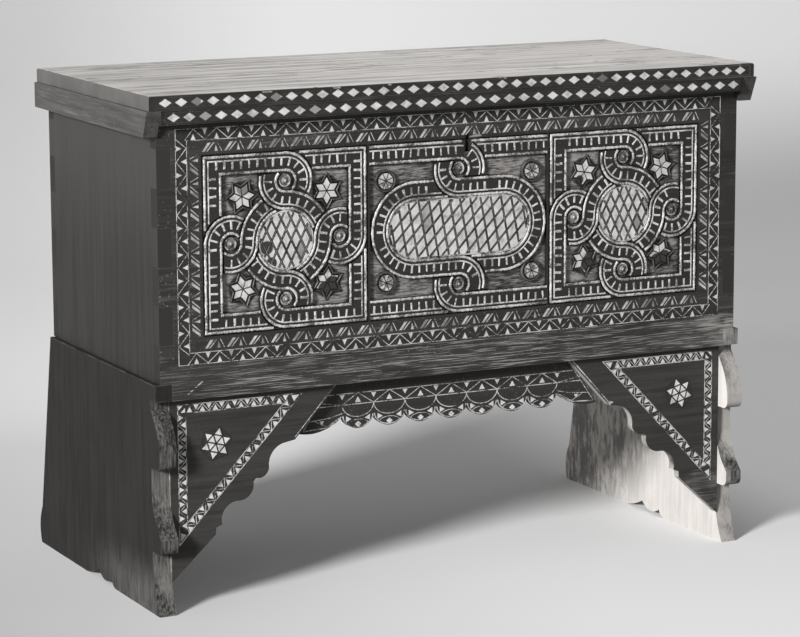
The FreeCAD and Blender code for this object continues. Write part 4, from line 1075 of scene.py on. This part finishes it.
paper = Finish("studio paper")
lightPath = paper.make("ShaderNodeLightPath").socket.node.outputs
seen = [Signal(paper, lightPath[name]) for name in ("Is Camera Ray", "Is Glossy Ray", "Is Transmission Ray")]
shown = seen[0].most(seen[1]).most(seen[2])
across = paper.x.ramp(*stage["fade"]) * 0.9 + paper.noise((1.5, 1.5, 1.5), 3.0, 0.5) * 0.1
wall = paper.mix(paper.x.ramp(*stage["wallFade"]), grey("wallLeft"), grey("wallRight"))
sheet = paper.mix(across, grey("left"), grey("right"))
sheet = paper.mix(paper.z.ramp(0.0, 0.3), sheet, wall)
# painted shadow: the chest's shadow on the wall, low on the right
dim = paper.x.ramp(0.6, 1.7) * paper.z.ramp(0.0, 0.15) * (1 - paper.z.ramp(0.25, 0.75))
sheet = paper.mix(dim, sheet, grey("corner"))
sheet = paper.mix(shown, grey("unseen"), sheet)
matt = paper.make("ShaderNodeBsdfDiffuse", {}, {"Color": sheet, "Roughness": 0.2})
shadowGlow = paper.make("ShaderNodeEmission", {}, {"Color": grey("shadowGlow")})  # painted light: a glow, seen only, that thins the shadows as the print does, most to the right
thin = shown * (0.07 + paper.x.ramp(0.5, 0.95) * (1 - paper.z.ramp(0.1, 0.4)) * 0.4)
withShadowGlow = paper.make("ShaderNodeMixShader", {}, {0: thin, 1: matt, 2: shadowGlow})
behind = paper.make("ShaderNodeNewGeometry", output="Backfacing")  # clear from behind, so the back can be seen
clear = paper.make("ShaderNodeBsdfTransparent")
surface = paper.make("ShaderNodeMixShader", {}, {0: behind, 1: withShadowGlow, 2: clear})
paper.tree.links.new(surface.socket, paper.tree.nodes["Material Output"].inputs["Surface"])
sweepMesh.materials.append(paper.material)

# light: one soft window to the left and an even room
lightSettings = {"place": (-9.8, -5.65, 4.5), "target": (0.0, 0.0, 0.45), "size": 2.4, "power": 1800.0, "room": 0.27}
lampData = bpy.data.lights.new("window", "AREA")
lampData.shape = "DISK"
lampData.size = lightSettings["size"]
lampData.energy = lightSettings["power"]
lamp = placed("window", lampData)
lamp.location = lightSettings["place"]
lamp.rotation_euler = (Vector(lightSettings["target"]) - lamp.location).to_track_quat("-Z", "Y").to_euler()
world = bpy.data.worlds.new("room")
world.use_nodes = True
background = world.node_tree.nodes["Background"]
background.inputs["Color"].default_value = (1.0, 1.0, 1.0, 1.0)
background.inputs["Strength"].default_value = lightSettings["room"]
bpy.context.scene.world = world

cameraSettings = {"place": (-2.5196, -5.1274, 1.4670), "tilt": 79.69, "roll": 0.23, "turn": -26.41, "lens": 140.5}
cameraData = bpy.data.cameras.new("camera")
cameraData.sensor_width = 36.0
cameraData.lens = cameraSettings["lens"]
camera = placed("camera", cameraData)
camera.location = cameraSettings["place"]
camera.rotation_euler = [math.radians(cameraSettings[key]) for key in ("tilt", "roll", "turn")]
bpy.context.scene.camera = camera
bpy.context.scene.view_settings.view_transform = "Standard"

print("camera and light set")
